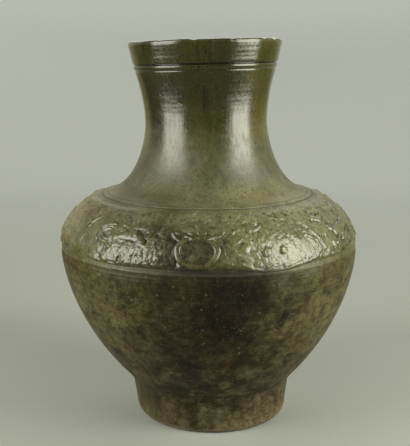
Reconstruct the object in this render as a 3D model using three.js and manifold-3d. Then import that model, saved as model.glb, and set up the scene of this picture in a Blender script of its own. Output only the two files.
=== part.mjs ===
// A large glazed earthenware hu jar, built the way a potter builds it: five thrown sections are
// luted on top of each other, four mould-pressed strips are laid round the shoulder as a frieze,
// and a beast mask with a mock ring covers the strip joints at the front and at the back.
// Millimetres, +Z up, the standing face at z = 0, the front mask towards -Y.
import * as THREE from 'three';
import { mergeVertices } from 'three/addons/utils/BufferGeometryUtils.js';
import Module from 'manifold-3d';

const wasm = await Module();
wasm.setup();

// Heights of the five thrown sections, from the standing face up
const FOOT_HEIGHT = 44;
const BOWL_HEIGHT = 143;
const DOME_HEIGHT = 54.5;
const NECK_HEIGHT = 134.5;
const MOUTH_HEIGHT = 24;

// Outer radii
const STANDING_RADIUS = 76.6;
const FOOT_SIDE_RADIUS = 82.9;
const FOOT_TOP_RADIUS = 86.4;
const BOWL_SEAM_RADIUS = 90.2;
const GIRTH_RADIUS = 158.7;
const NECK_BASE_RADIUS = 112;
const WAIST_RADIUS = 64.1;
const MOUTH_SEAM_RADIUS = 74.4;
const LIP_RADIUS = 80.2;

// Walls
const FOOT_WALL = 13;
const BODY_WALL = 9.5;
const FLOOR_THICKNESS = 12;
const NECK_WALL = 8.5;
const MOUTH_WALL = 9;

// Slip between two clay pieces
const LUTE_GAP = 0.3;

// Foot: the rounded standing edge, the bevel inside it and the fillet under the bowl
const STANDING_EDGE_HEIGHT = 13;
const STANDING_BEVEL = 2;
const FOOT_FILLET_HEIGHT = 6;
const FOOT_FILLET_HOLLOW = 0.4;
const FOOT_HOLLOW_RISE = 2;

// The trimmed heel of the bowl over the foot seam
const HEEL_WIDTH = 3;
const HEEL_HEIGHT = 4;

// Which way the tangent at each end of a thrown curve points, in degrees from level
const BOWL_START_ANGLE = 47;
const BOWL_END_ANGLE = 86;
const DOME_START_ANGLE = 91;
const DOME_END_ANGLE = 160;
const FLARE_START_ANGLE = 165;
const MOUTH_ANGLE = 76;
const UPRIGHT_ANGLE = 90;

// How far each of those tangents reaches, and how high over the neck base the waist lies
const BOWL_START_REACH = 70;
const BOWL_END_REACH = 28;
const DOME_START_REACH = 15;
const DOME_END_REACH = 30;
const FLARE_START_REACH = 37;
const WAIST_REACH_DOWN = 7.5;
const WAIST_REACH_UP = 26;
const WAIST_ABOVE_BASE = 73.5;
const MOUTH_REACH = 6;

// Turned fillets: at the girth, at the neck base and under the mouth band
const GIRTH_FILLET_HEIGHT = 3.2;
const GIRTH_FILLET_RISE = 0.9;
const GIRTH_GROOVE_DEPTH = 0.4;
const DOME_SET_BACK = 2.4;
const NECK_FILLET_WIDTH = 3.4;
const NECK_FILLET_RISE = 1;
const CORDON_HEIGHT = 4.5;
const CORDON_RISE = 1;
const CORDON_UNDERCUT_DEPTH = 1;
const CORDON_UNDERCUT_HEIGHT = 1.5;
const MOUTH_BAND_RISE = 1.4;
const MOUTH_BAND_LEAD_IN = 1.2;
const MOUTH_BAND_SWELL = 0.4;
const LIP_ROUNDING = 2;

// Sections of the turned fillets and the cordon as shares of their heights or widths and rises:
// those at the girth as [up from the seam, rise], the broad and the low one at the neck base as
// [along, rise], the cordon as [up from the mouth seam, rise]
const GIRTH_FILLET_BELOW = [[-1.3, 1], [-0.5, 0]];
const GIRTH_FILLET_ABOVE = [[0.7, 1], [1.4, 0]];
const NECK_FILLET_SECTION = [[0, 0], [0.35, 1], [0.8, 1], [1.2, 0], [1.5, 0.5]];
const CORDON_SECTION = [[-0.8, 0.6], [-0.4, 1]];

// Shares of each outer curve's length between which the inner wall follows it, from the top down
const BOWL_INSIDE = [0.97, 0.12];
const DOME_INSIDE = [1, 0.1];
const UPPER_NECK_INSIDE = [0.8, 0.1];
const FLARE_INSIDE = [0.85, 0.1];
const UPPER_NECK_FIRST_SHARE = 0.4;

// Frieze: pressed strips on the shoulder
const FRIEZE_MARGIN_LOW = 1;
const FRIEZE_MARGIN_HIGH = 4;
const STRIP_THICKNESS = 1.3;
const STRIP_EDGE_THICKNESS = 0.6;
const RELIEF_HEIGHT = 1.9;

// Mock ring, an oval by its centre line, and the beast mask that bites on it
const RING_WIDTH = 37;
const RING_HEIGHT = 26;
const RING_BAND = 6;
const RING_RISE = 2.6;
const RING_CENTRE_CLIMB = 16.5;
const MASK_HEIGHT = 33;
const MASK_HALF_WIDTH = 26;
const MASK_TEMPLE_HALF_WIDTH = 22;
const MASK_CROWN_HALF_WIDTH = 10;
const MASK_CREST_HALF_WIDTH = 8;
const MASK_MUZZLE_HALF_WIDTH = 15;
const MASK_PLATE = 1.6;
const MASK_RELIEF = 2.6;
const NOSE_RELIEF = 3.6;
const NOSE_WIDTH = 8;
const NOSE_BITE = 2.5;

// The kiln left the jar leaning and its mouth tilted
const LEAN = 7.5;
const MOUTH_TILT = 1.5;

// Facets
const FACETS_PER_QUARTER = 10;
const STANDING_EDGE_STEPS = 3;
const BOWL_STEPS = 8;
const FLARE_STEPS = 6;
const UPPER_NECK_STEPS = 2;
const BOWL_INSIDE_STEPS = 4;
const DOME_INSIDE_STEPS = 4;
const FLARE_INSIDE_STEPS = 3;
const FRIEZE_ROWS = 6;
const RIDGE_STEP_LENGTH = 13;
const RIDGE_LEAST_STEPS = 3;
const RING_STEPS = 20;
const BOSS_FACETS = 6;
const MASK_COLUMNS = 4;
const MASK_ROWS = 5;

// A pressed shape is sunk by this share of the slab it stands on
const SUNK_SHARE = 0.5;

// Share of a ridge cut off at both ends of the half wave that it swells by
const RIDGE_END = 0.08;

// How far ahead on a line its direction is taken, and how close two corners count as one, in mm
const LOOK_AHEAD = 0.1;
const SAME_CORNER = 1e-4;

const radians = THREE.MathUtils.degToRad;
const facetTurn = 90 / FACETS_PER_QUARTER;

// Levels of the seams, each measured from the standing face
const footSeam = FOOT_HEIGHT;
const girthSeam = footSeam + BOWL_HEIGHT;
const neckSeam = girthSeam + DOME_HEIGHT;
const mouthSeam = neckSeam + NECK_HEIGHT;
const totalHeight = mouthSeam + MOUTH_HEIGHT;

const point = (radius, height) => new THREE.Vector2(radius, height);
const direction = (angle) => point(Math.cos(radians(angle)), Math.sin(radians(angle)));

// A thrown curve between two [radius, height] points, by the angle and reach of both end tangents
function thrownCurve(start, startAngle, startReach, end, endAngle, endReach) {
  const leave = start.clone().addScaledVector(direction(startAngle), startReach);
  const arrive = end.clone().addScaledVector(direction(endAngle), -endReach);
  return new THREE.CubicBezierCurve(start, leave, arrive, end);
}

// The point at a share of a rising curve, moved out of the wall by lift (negative is into it)
function besideCurve(curve, share, lift) {
  const tangent = curve.getTangentAt(share);
  return curve.getPointAt(share).add(point(tangent.y, -tangent.x).multiplyScalar(lift));
}

// Evenly spaced points beside a curve from one share of its length to another
function run(curve, from, to, steps, lift = 0) {
  return Array.from({ length: steps + 1 }, (_, i) => (
    besideCurve(curve, from + (to - from) * (i / steps), lift)));
}

// Radius at the bottom of the groove between the two girth fillets, where the seam lies
const girthGroove = GIRTH_RADIUS - GIRTH_FILLET_RISE - GIRTH_GROOVE_DEPTH;

// Outer curves of the bowl, the dome and the neck
const bowlStart = point(BOWL_SEAM_RADIUS + HEEL_WIDTH, footSeam + LUTE_GAP + HEEL_HEIGHT);
const bowlEnd = point(GIRTH_RADIUS - GIRTH_FILLET_RISE, girthSeam - 2 * GIRTH_FILLET_HEIGHT);
const bowlCurve = thrownCurve(
  bowlStart, BOWL_START_ANGLE, BOWL_START_REACH, bowlEnd, BOWL_END_ANGLE, BOWL_END_REACH);
const domeStart = point(GIRTH_RADIUS - DOME_SET_BACK, girthSeam + 2 * GIRTH_FILLET_HEIGHT);
const domeEnd = point(NECK_BASE_RADIUS, neckSeam);
const domeCurve = thrownCurve(
  domeStart, DOME_START_ANGLE, DOME_START_REACH, domeEnd, DOME_END_ANGLE, DOME_END_REACH);
const neckLine = direction(DOME_END_ANGLE);
const neckOut = point(neckLine.y, -neckLine.x);
const besideNeckSeam = (along, lift) => (
  domeEnd.clone().addScaledVector(neckLine, along).addScaledVector(neckOut, lift));
const waist = point(WAIST_RADIUS, neckSeam + WAIST_ABOVE_BASE);
const flareCurve = thrownCurve(
  besideNeckSeam(2 * NECK_FILLET_WIDTH, 0), FLARE_START_ANGLE, FLARE_START_REACH,
  waist, UPRIGHT_ANGLE, WAIST_REACH_DOWN);
const upperNeckEnd = point(
  MOUTH_SEAM_RADIUS - CORDON_UNDERCUT_DEPTH, mouthSeam - CORDON_HEIGHT - CORDON_UNDERCUT_HEIGHT);
const upperNeckCurve = thrownCurve(
  waist, UPRIGHT_ANGLE, WAIST_REACH_UP, upperNeckEnd, MOUTH_ANGLE, MOUTH_REACH);

// Turn a closed or axis-to-axis profile of [radius, height] points about the axis
function turned(profile) {
  const geometry = new THREE.LatheGeometry(profile, 4 * FACETS_PER_QUARTER);
  geometry.rotateX(Math.PI / 2);
  return geometry;
}

// Foot ring: open underneath, tapering to a rounded standing edge, filleted under the bowl
function footRing() {
  const edge = new THREE.QuadraticBezierCurve(
    point(STANDING_RADIUS, 0),
    point(FOOT_SIDE_RADIUS, STANDING_BEVEL),
    point(FOOT_SIDE_RADIUS, STANDING_EDGE_HEIGHT));
  const innerFoot = point(STANDING_RADIUS - FOOT_WALL + STANDING_BEVEL, 0);
  return turned([
    innerFoot,
    ...edge.getPoints(STANDING_EDGE_STEPS),
    point(FOOT_TOP_RADIUS, footSeam - FOOT_FILLET_HEIGHT),
    point(
      (FOOT_TOP_RADIUS + BOWL_SEAM_RADIUS) / 2 - FOOT_FILLET_HOLLOW,
      footSeam - FOOT_FILLET_HEIGHT / 3),
    point(BOWL_SEAM_RADIUS, footSeam),
    point(BOWL_SEAM_RADIUS - FOOT_WALL, footSeam),
    point(STANDING_RADIUS - FOOT_WALL, STANDING_BEVEL),
    innerFoot.clone(),
  ]);
}

// The points of a girth fillet from its section
const girthFillet = (section) => section.map(([up, rise]) => (
  point(GIRTH_RADIUS + (rise - 1) * GIRTH_FILLET_RISE, girthSeam + up * GIRTH_FILLET_HEIGHT)));

// Lower bowl: the floor, the tapering belly and the thin ridge below the girth seam
function lowerBowl() {
  const under = footSeam + LUTE_GAP;
  const floor = under + FLOOR_THICKNESS;
  const top = girthSeam - LUTE_GAP / 2;
  const inner = run(bowlCurve, ...BOWL_INSIDE, BOWL_INSIDE_STEPS, -BODY_WALL);
  return turned([
    point(0, under + FOOT_HOLLOW_RISE),
    point(BOWL_SEAM_RADIUS - FOOT_WALL - STANDING_BEVEL, under),
    point(BOWL_SEAM_RADIUS, under),
    ...run(bowlCurve, 0, 1, BOWL_STEPS),
    ...girthFillet(GIRTH_FILLET_BELOW),
    point(girthGroove, top),
    point(girthGroove - BODY_WALL, top),
    ...inner,
    point(inner.at(-1).x - BODY_WALL, floor),
    point(0, floor - FOOT_HOLLOW_RISE / 2),
  ]);
}

// Distance up the shoulder curve of the lower edge of frieze row number row
const shoulderLength = domeCurve.getLength();
const friezeWidth = shoulderLength - FRIEZE_MARGIN_LOW - FRIEZE_MARGIN_HIGH;
const rowClimb = (row) => FRIEZE_MARGIN_LOW + friezeWidth * (row / FRIEZE_ROWS);

// Shoulder dome: from the girth fillet up to the neck, with the seat of the frieze
function shoulderDome() {
  const bottom = girthSeam + LUTE_GAP / 2;
  const seat = Array.from({ length: FRIEZE_ROWS + 1 }, (_, row) => (
    besideCurve(domeCurve, rowClimb(row) / shoulderLength, 0)));
  return turned([
    point(girthGroove - BODY_WALL, bottom),
    point(girthGroove, bottom),
    ...girthFillet(GIRTH_FILLET_ABOVE),
    domeCurve.getPointAt(0),
    ...seat,
    domeCurve.getPointAt(1),
    ...run(domeCurve, ...DOME_INSIDE, DOME_INSIDE_STEPS, -BODY_WALL),
    point(girthGroove - BODY_WALL, bottom),
  ]);
}

// Neck: double fillet at the base, waisted wall, small cordon under the mouth band
function neck() {
  const start = LUTE_GAP;
  const top = mouthSeam - LUTE_GAP / 2;
  return turned([
    besideNeckSeam(start, -NECK_WALL),
    ...NECK_FILLET_SECTION.map(([along, rise]) => (
      besideNeckSeam(start + along * NECK_FILLET_WIDTH, rise * NECK_FILLET_RISE))),
    ...run(flareCurve, 0, 1, FLARE_STEPS),
    ...run(upperNeckCurve, UPPER_NECK_FIRST_SHARE, 1, UPPER_NECK_STEPS),
    ...CORDON_SECTION.map(([up, rise]) => (
      point(MOUTH_SEAM_RADIUS + rise * CORDON_RISE, mouthSeam + up * CORDON_HEIGHT))),
    point(MOUTH_SEAM_RADIUS, top),
    point(MOUTH_SEAM_RADIUS - NECK_WALL, top),
    ...run(upperNeckCurve, ...UPPER_NECK_INSIDE, 1, -NECK_WALL),
    ...run(flareCurve, ...FLARE_INSIDE, FLARE_INSIDE_STEPS, -NECK_WALL),
    besideNeckSeam(start, -NECK_WALL),
  ]);
}

// Mouth band: thicker than the neck, flaring to a flat lip with rounded edges
function mouthRim() {
  const bottom = mouthSeam + LUTE_GAP / 2;
  const bandBottom = MOUTH_SEAM_RADIUS + MOUTH_BAND_RISE;
  const innerLip = LIP_RADIUS - MOUTH_WALL;
  return turned([
    point(MOUTH_SEAM_RADIUS - NECK_WALL, bottom),
    point(MOUTH_SEAM_RADIUS - MOUTH_BAND_SWELL, bottom),
    point(bandBottom, bottom + MOUTH_BAND_LEAD_IN),
    point((bandBottom + LIP_RADIUS) / 2 + MOUTH_BAND_SWELL, (mouthSeam + totalHeight) / 2),
    point(LIP_RADIUS, totalHeight - LIP_ROUNDING),
    point(LIP_RADIUS - LIP_ROUNDING, totalHeight),
    point(innerLip + LIP_ROUNDING, totalHeight),
    point(innerLip, totalHeight - LIP_ROUNDING),
    point(MOUTH_SEAM_RADIUS - NECK_WALL, bottom),
  ]);
}

// A place at a turn in degrees from the front, by its [radius, height]
function turnedPlace(turn, { x: radius, y: height }) {
  const angle = radians(turn);
  return new THREE.Vector3(radius * Math.sin(angle), -radius * Math.cos(angle), height);
}

// A place on the round shoulder: turn, climb along the curve, lift off it
function onShoulder(turn, climb, lift) {
  const share = THREE.MathUtils.clamp(climb / shoulderLength, 0, 1);
  return turnedPlace(turn, besideCurve(domeCurve, share, lift));
}

// The same place on the flat facets of the shoulder, which the strips lie on
function onFacets(turn, climb, lift) {
  const row = THREE.MathUtils.clamp(
    (FRIEZE_ROWS * (climb - FRIEZE_MARGIN_LOW)) / friezeWidth, 0, FRIEZE_ROWS);
  const below = Math.min(Math.floor(row), FRIEZE_ROWS - 1);
  const edges = [below, below + 1].map((edge) => (
    besideCurve(domeCurve, rowClimb(edge) / shoulderLength, lift)));
  const corner = edges[0].lerp(edges[1], row - below);
  const offMiddle = THREE.MathUtils.euclideanModulo(turn, facetTurn) - facetTurn / 2;
  const drawnIn = Math.cos(radians(facetTurn / 2)) / Math.cos(radians(offMiddle));
  return turnedPlace(turn, point(corner.x * drawnIn, corner.y));
}

// Bend a flat pressed shape (x round the jar, y up the shoulder, z out) onto a surface
function bend(surface, geometry, turn, climb) {
  const radius = -onShoulder(0, climb, 0).y;
  const position = geometry.attributes.position;
  for (let i = 0; i < position.count; i += 1) {
    const around = turn + THREE.MathUtils.radToDeg(position.getX(i) / radius);
    const placed = surface(around, climb + position.getY(i), position.getZ(i));
    position.setXYZ(i, placed.x, placed.y, placed.z);
  }
  return geometry;
}

// Levels above the shoulder: back and ground of the strips, and back of what lies on them
const stripBack = LUTE_GAP;
const stripGround = stripBack + STRIP_THICKNESS;
const appliedBack = stripGround + LUTE_GAP;

// A closed body from rings of points, each ring running the same way round
function loftRings(rings, closed) {
  const count = rings[0].length;
  const vertices = rings.flat().flatMap((p) => [p.x, p.y, p.z]);
  const index = [];
  const last = closed ? rings.length : rings.length - 1;
  for (let i = 0; i < last; i += 1) {
    const next = (i + 1) % rings.length;
    for (let k = 0; k < count; k += 1) {
      const l = (k + 1) % count;
      index.push(i * count + k, next * count + l, i * count + l);
      index.push(i * count + k, next * count + k, next * count + l);
    }
  }
  if (!closed) {
    const end = (rings.length - 1) * count;
    for (let k = 1; k < count - 1; k += 1) {
      index.push(0, k, k + 1);
      index.push(end, end + k + 1, end + k);
    }
  }
  const geometry = new THREE.BufferGeometry();
  geometry.setAttribute('position', new THREE.Float32BufferAttribute(vertices, 3));
  geometry.setIndex(index);
  return geometry;
}

// Half-round section of a ridge as [across, up] shares, from its right foot over to its left
const RIDGE_SECTION = [[-1, 0], [-0.55, 0.85], [0.55, 0.85], [1, 0]];

// One ring of a ridge: the section stood on a surface, square to the line it follows
function ridgeRing(surface, place, ahead, width, height, base) {
  const foot = surface(place.x, place.y, base);
  const out = surface(place.x, place.y, base + 1).sub(foot);
  const along = surface(ahead.x, ahead.y, base).sub(foot).normalize();
  const side = new THREE.Vector3().crossVectors(out, along).normalize();
  return RIDGE_SECTION.map(([across, up]) => foot.clone()
    .addScaledVector(side, (across * width) / 2)
    .addScaledVector(out, up * height));
}

// A ridge along a smooth line of [turn, climb] places, thinning towards both ends
function ridge(surface, line, width, height, base) {
  const path = new THREE.SplineCurve(line.map(([turn, climb]) => point(turn, climb)));
  const laid = new THREE.CatmullRomCurve3(line.map(([turn, climb]) => onShoulder(turn, climb, 0)));
  const steps = Math.max(RIDGE_LEAST_STEPS, Math.ceil(laid.getLength() / RIDGE_STEP_LENGTH));
  const rings = Array.from({ length: steps + 1 }, (_, i) => {
    const share = i / steps;
    const place = path.getPoint(share);
    const ahead = place.clone().addScaledVector(path.getTangent(share), LOOK_AHEAD);
    const swell = Math.sqrt(Math.sin(Math.PI * (RIDGE_END + (1 - 2 * RIDGE_END) * share)));
    return ridgeRing(surface, place, ahead, width * swell, height * swell, base);
  });
  return loftRings(rings, false);
}

// Half section of a boss as [radius, height] shares
const BOSS_SECTION = [[0, 0], [1, 0], [0.75, 0.75], [0, 1]];

// A round boss standing on a surface
function boss(surface, [turn, climb], radius, height, base) {
  const dome = BOSS_SECTION.map(([r, h]) => point(r * radius, base + h * height));
  const geometry = new THREE.LatheGeometry(dome, BOSS_FACETS);
  geometry.rotateX(Math.PI / 2);
  return bend(surface, geometry, turn, climb);
}

// Make a manifold solid of a closed geometry
function solid(geometry) {
  const bare = geometry.clone();
  bare.deleteAttribute('normal');
  bare.deleteAttribute('uv');
  const merged = mergeVertices(bare, SAME_CORNER);
  const faces = [];
  for (let i = 0; i < merged.index.count; i += 3) {
    const [a, b, c] = [0, 1, 2].map((k) => merged.index.getX(i + k));
    if (a !== b && b !== c && c !== a) faces.push(a, b, c);
  }
  return new wasm.Manifold(new wasm.Mesh({
    numProp: 3,
    vertProperties: new Float32Array(merged.attributes.position.array),
    triVerts: new Uint32Array(faces),
  }));
}

// The geometry of a manifold solid
function geometryOf(body) {
  const mesh = body.getMesh();
  const geometry = new THREE.BufferGeometry();
  geometry.setAttribute('position', new THREE.BufferAttribute(mesh.vertProperties, 3));
  geometry.setIndex(new THREE.BufferAttribute(mesh.triVerts, 1));
  return geometry;
}

const fuse = (geometries) => geometries.map(solid).reduce((whole, part) => whole.add(part));

// Plain strip over a quarter of the shoulder, thinned along its upper and lower edges
function plainStrip(startTurn) {
  const slip = THREE.MathUtils.radToDeg(LUTE_GAP / 2 / NECK_BASE_RADIUS);
  const slab = new THREE.BoxGeometry(1, 1, 1, FACETS_PER_QUARTER, FRIEZE_ROWS, 1);
  const position = slab.attributes.position;
  for (let i = 0; i < position.count; i += 1) {
    const across = Math.round((position.getX(i) + 0.5) * FACETS_PER_QUARTER);
    const row = Math.round((position.getY(i) + 0.5) * FRIEZE_ROWS);
    const ends = (across === 0 ? slip : 0) - (across === FACETS_PER_QUARTER ? slip : 0);
    const edge = row === 0 || row === FRIEZE_ROWS;
    const front = stripBack + (edge ? STRIP_EDGE_THICKNESS : STRIP_THICKNESS);
    const lift = position.getZ(i) > 0 ? front : stripBack;
    const turn = startTurn + (90 * across) / FACETS_PER_QUARTER + ends;
    const placed = onFacets(turn, rowClimb(row), lift);
    position.setXYZ(i, placed.x, placed.y, placed.z);
  }
  return slab;
}

// The two moulds. Places are shares [along, up] of the strip, widths and radii are millimetres.
const MOULD_OF_HILLS = {
  ridges: [
    { line: [[0.445, 0.9], [0.462, 0.78], [0.491, 0.63]], width: 3 },
    { line: [[0.51, 0.43], [0.54, 0.25], [0.518, 0.08]], width: 3.6 },
    { line: [[0.54, 0.5], [0.577, 0.27], [0.55, 0.07]], width: 3.2 },
    { line: [[0.575, 0.58], [0.612, 0.3], [0.588, 0.07]], width: 3 },
    { line: [[0.13, 0.1], [0.2, 0.06], [0.28, 0.07], [0.4, 0.06]], width: 3.6 },
    { line: [[0.66, 0.36], [0.71, 0.45], [0.77, 0.37], [0.82, 0.47]], width: 11 },
    { line: [[0.81, 0.42], [0.84, 0.55], [0.87, 0.6]], width: 7 },
    { line: [[0.685, 0.34], [0.66, 0.18], [0.645, 0.1]], width: 4.5 },
    { line: [[0.745, 0.34], [0.742, 0.2], [0.755, 0.1]], width: 4.5 },
    { line: [[0.8, 0.38], [0.825, 0.22], [0.85, 0.15]], width: 4.5 },
    { line: [[0.665, 0.4], [0.635, 0.55], [0.655, 0.72]], width: 3 },
    { line: [[0.905, 0.08], [0.925, 0.34], [0.97, 0.46]], width: 3.4 },
    { line: [[0.71, 0.72], [0.745, 0.88], [0.8, 0.86], [0.79, 0.73]], width: 3.2 },
    { line: [[0.545, 0.8], [0.585, 0.92], [0.63, 0.86]], width: 3 },
    { line: [[0.3, 0.78], [0.34, 0.9], [0.385, 0.8]], width: 3 },
  ],
  bosses: [
    { at: [0.273, 0.24], radius: 5.8 },
    { at: [0.339, 0.26], radius: 4.9 },
    { at: [0.374, 0.51], radius: 6.4 },
    { at: [0.443, 0.93], radius: 2.6 },
    { at: [0.186, 0.31], radius: 3 },
    { at: [0.254, 0.73], radius: 2.2 },
    { at: [0.885, 0.62], radius: 4 },
  ],
};
const MOULD_OF_SCROLLS = {
  ridges: [
    { line: [[0.795, 0.52], [0.835, 0.69], [0.88, 0.76]], width: 3.6 },
    { line: [[0.825, 0.33], [0.75, 0.42], [0.69, 0.32], [0.645, 0.36]], width: 11 },
    { line: [[0.8, 0.3], [0.81, 0.19], [0.83, 0.1]], width: 4.5 },
    { line: [[0.74, 0.34], [0.732, 0.2], [0.74, 0.1]], width: 4.5 },
    { line: [[0.67, 0.3], [0.65, 0.18], [0.635, 0.1]], width: 4.5 },
    { line: [[0.65, 0.38], [0.615, 0.48], [0.618, 0.62]], width: 3 },
    { line: [[0.51, 0.73], [0.5, 0.45], [0.53, 0.2], [0.58, 0.1]], width: 3.6 },
    { line: [[0.545, 0.64], [0.54, 0.42], [0.575, 0.22]], width: 3.2 },
    { line: [[0.1, 0.12], [0.13, 0.5], [0.24, 0.64], [0.3, 0.4], [0.22, 0.28]], width: 4 },
    { line: [[0.4, 0.1], [0.435, 0.34], [0.42, 0.56], [0.36, 0.66]], width: 3.6 },
    { line: [[0.03, 0.1], [0.055, 0.36], [0.03, 0.6]], width: 3.4 },
    { line: [[0.555, 0.82], [0.6, 0.92], [0.66, 0.88], [0.65, 0.76]], width: 3.2 },
    { line: [[0.7, 0.72], [0.73, 0.84], [0.775, 0.82]], width: 3 },
    { line: [[0.14, 0.82], [0.2, 0.92], [0.26, 0.84]], width: 3 },
    { line: [[0.855, 0.12], [0.875, 0.3], [0.87, 0.5]], width: 3 },
  ],
  bosses: [
    { at: [0.84, 0.35], radius: 4.4 },
    { at: [0.345, 0.24], radius: 5 },
    { at: [0.19, 0.18], radius: 4 },
  ],
};

// A frieze strip: the plain strip with the relief of one mould pressed up out of it
function friezeStrip(startTurn, mould) {
  const base = stripGround - SUNK_SHARE * STRIP_THICKNESS;
  const rise = stripGround + RELIEF_HEIGHT - base;
  const place = ([along, up]) => [startTurn + 90 * along, FRIEZE_MARGIN_LOW + friezeWidth * up];
  const ridges = mould.ridges.map(({ line, width }) => (
    ridge(onFacets, line.map(place), width, rise, base)));
  const bosses = mould.bosses.map(({ at, radius }) => (
    boss(onFacets, place(at), radius, rise, base)));
  return geometryOf(fuse([plainStrip(startTurn), ...ridges, ...bosses]));
}

// Closed oval band of the mock ring, widened all round by extra
function ringBand(centreTurn, extra) {
  const radius = -onShoulder(0, RING_CENTRE_CLIMB, 0).y;
  const oval = (angle) => point(
    centreTurn + THREE.MathUtils.radToDeg(((RING_WIDTH / 2) * Math.cos(angle)) / radius),
    RING_CENTRE_CLIMB + (RING_HEIGHT / 2) * Math.sin(angle));
  const rings = Array.from({ length: RING_STEPS }, (_, i) => {
    const angle = (2 * Math.PI * i) / RING_STEPS;
    const ahead = angle + LOOK_AHEAD / RING_HEIGHT;
    return ridgeRing(
      onShoulder, oval(angle), oval(ahead),
      RING_BAND + 2 * extra, RING_RISE + 2 * extra, appliedBack - extra);
  });
  return loftRings(rings, true);
}

// The mask stands on the middle of the ring's upper band, and is cut clear of it below
const maskBottom = RING_CENTRE_CLIMB + RING_HEIGHT / 2;
const maskMiddle = maskBottom + MASK_HEIGHT / 2;

// Half outline of the mask from muzzle to crest, as [half width, share of its height]
const MASK_OUTLINE = [
  [MASK_MUZZLE_HALF_WIDTH, 0],
  [MASK_HALF_WIDTH, 0.3],
  [MASK_TEMPLE_HALF_WIDTH, 0.5],
  [MASK_CROWN_HALF_WIDTH, 0.75],
  [MASK_CREST_HALF_WIDTH, 1],
];

// Plate of the mask, wide at the brows, narrow at the crest and at the muzzle
function maskPlate(centreTurn) {
  const plate = new THREE.BoxGeometry(1, 1, 1, MASK_COLUMNS, MASK_ROWS, 1);
  const position = plate.attributes.position;
  const outline = new THREE.SplineCurve(MASK_OUTLINE.map(([half, up]) => point(half, up)));
  for (let i = 0; i < position.count; i += 1) {
    const up = position.getY(i) + 0.5;
    const half = outline.getPoint(up).x;
    position.setX(i, 2 * half * position.getX(i));
    position.setY(i, (up - 0.5) * MASK_HEIGHT);
    position.setZ(i, appliedBack + (position.getZ(i) > 0 ? MASK_PLATE : 0));
  }
  return bend(onShoulder, plate, centreTurn, maskMiddle);
}

// Relief of the mask as [across, up] shares of its half width and height, drawn for both sides
const MASK_FEATURES = {
  ridges: [
    { line: [[0.14, 0.42], [0.45, 0.55], [0.84, 0.36]], width: 6 },
    { line: [[0.24, 0.12], [0.5, 0.12], [0.74, 0.22]], width: 5 },
    { line: [[0.1, 0.58], [0.34, 0.68], [0.2, 0.84]], width: 4.5 },
  ],
  bosses: [
    { at: [0.42, 0.29], radius: 4 },
  ],
};
const MASK_CREST = { at: [0, 0.86], radius: 6 };
const NOSE_TOP = 0.72;

// Beast mask: plate, nose, brows, cheeks, crest and eyes, cut clear of the ring that it bites on
function mask(centreTurn) {
  const radius = -onShoulder(0, maskMiddle, 0).y;
  const halfTurn = THREE.MathUtils.radToDeg(MASK_HALF_WIDTH / radius);
  const root = SUNK_SHARE * MASK_PLATE;
  const base = appliedBack + MASK_PLATE - root;
  const place = (side) => ([across, up]) => [
    centreTurn + side * across * halfTurn, maskBottom + MASK_HEIGHT * up];
  const halves = [-1, 1].flatMap((side) => [
    ...MASK_FEATURES.ridges.map(({ line, width }) => (
      ridge(onShoulder, line.map(place(side)), width, root + MASK_RELIEF, base))),
    ...MASK_FEATURES.bosses.map(({ at, radius: eye }) => (
      boss(onShoulder, place(side)(at), eye, root + MASK_RELIEF, base))),
  ]);
  const crest = boss(
    onShoulder, place(1)(MASK_CREST.at), MASK_CREST.radius, root + MASK_RELIEF, base);
  const noseLine = [-NOSE_BITE / MASK_HEIGHT, NOSE_TOP / 2, NOSE_TOP].map((up) => (
    place(1)([0, up])));
  const nose = ridge(onShoulder, noseLine, NOSE_WIDTH, root + NOSE_RELIEF, base);
  const whole = fuse([maskPlate(centreTurn), nose, crest, ...halves]);
  return geometryOf(whole.subtract(solid(ringBand(centreTurn, LUTE_GAP))));
}

// Lean the whole jar about the girth, and tilt it more and more from the neck base to the mouth
function kilnWarp(geometry) {
  const position = geometry.attributes.position;
  for (let i = 0; i < position.count; i += 1) {
    const x = position.getX(i);
    const z = position.getZ(i);
    const rise = THREE.MathUtils.smoothstep(z, neckSeam, mouthSeam - CORDON_HEIGHT);
    position.setX(i, x - (LEAN * (z - girthSeam)) / totalHeight);
    position.setZ(i, z + x * Math.tan(radians(MOUTH_TILT)) * rise);
  }
  return geometry;
}

const group = new THREE.Group();

function addPiece(name, geometry, color, roughness) {
  const material = new THREE.MeshStandardMaterial({ color, roughness, metalness: 0 });
  const mesh = new THREE.Mesh(kilnWarp(geometry), material);
  mesh.name = name;
  group.add(mesh);
}

addPiece('foot_ring', footRing(), 0x5d573a, 0.6);
addPiece('lower_bowl', lowerBowl(), 0x4a4627, 0.45);
addPiece('shoulder_dome', shoulderDome(), 0x5c5a36, 0.35);
addPiece('neck', neck(), 0x5a5a30, 0.25);
addPiece('mouth_rim', mouthRim(), 0x4e4d2a, 0.3);

// Opposite strips come from the same mould
addPiece('frieze_front_right', friezeStrip(0, MOULD_OF_HILLS), 0x66623f, 0.35);
addPiece('frieze_back_right', friezeStrip(90, MOULD_OF_SCROLLS), 0x625e3b, 0.35);
addPiece('frieze_back_left', friezeStrip(180, MOULD_OF_HILLS), 0x66623f, 0.35);
addPiece('frieze_front_left', friezeStrip(270, MOULD_OF_SCROLLS), 0x625e3b, 0.35);

addPiece('mask_front', mask(0), 0x6b6748, 0.35);
addPiece('mask_back', mask(180), 0x6b6748, 0.35);
addPiece('mask_ring_front', ringBand(0, 0), 0x57532f, 0.3);
addPiece('mask_ring_back', ringBand(180, 0), 0x57532f, 0.3);

export default group;
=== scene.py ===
"""A large green-glazed earthenware hu jar with a moulded frieze, dressed for a studio picture.

Every clay piece of the jar is made here as one fine surface over its plain solid. Sizes are in
millimetres and become metres when a mesh is made. Turns are degrees from the front mask.
"""
import math

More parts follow.
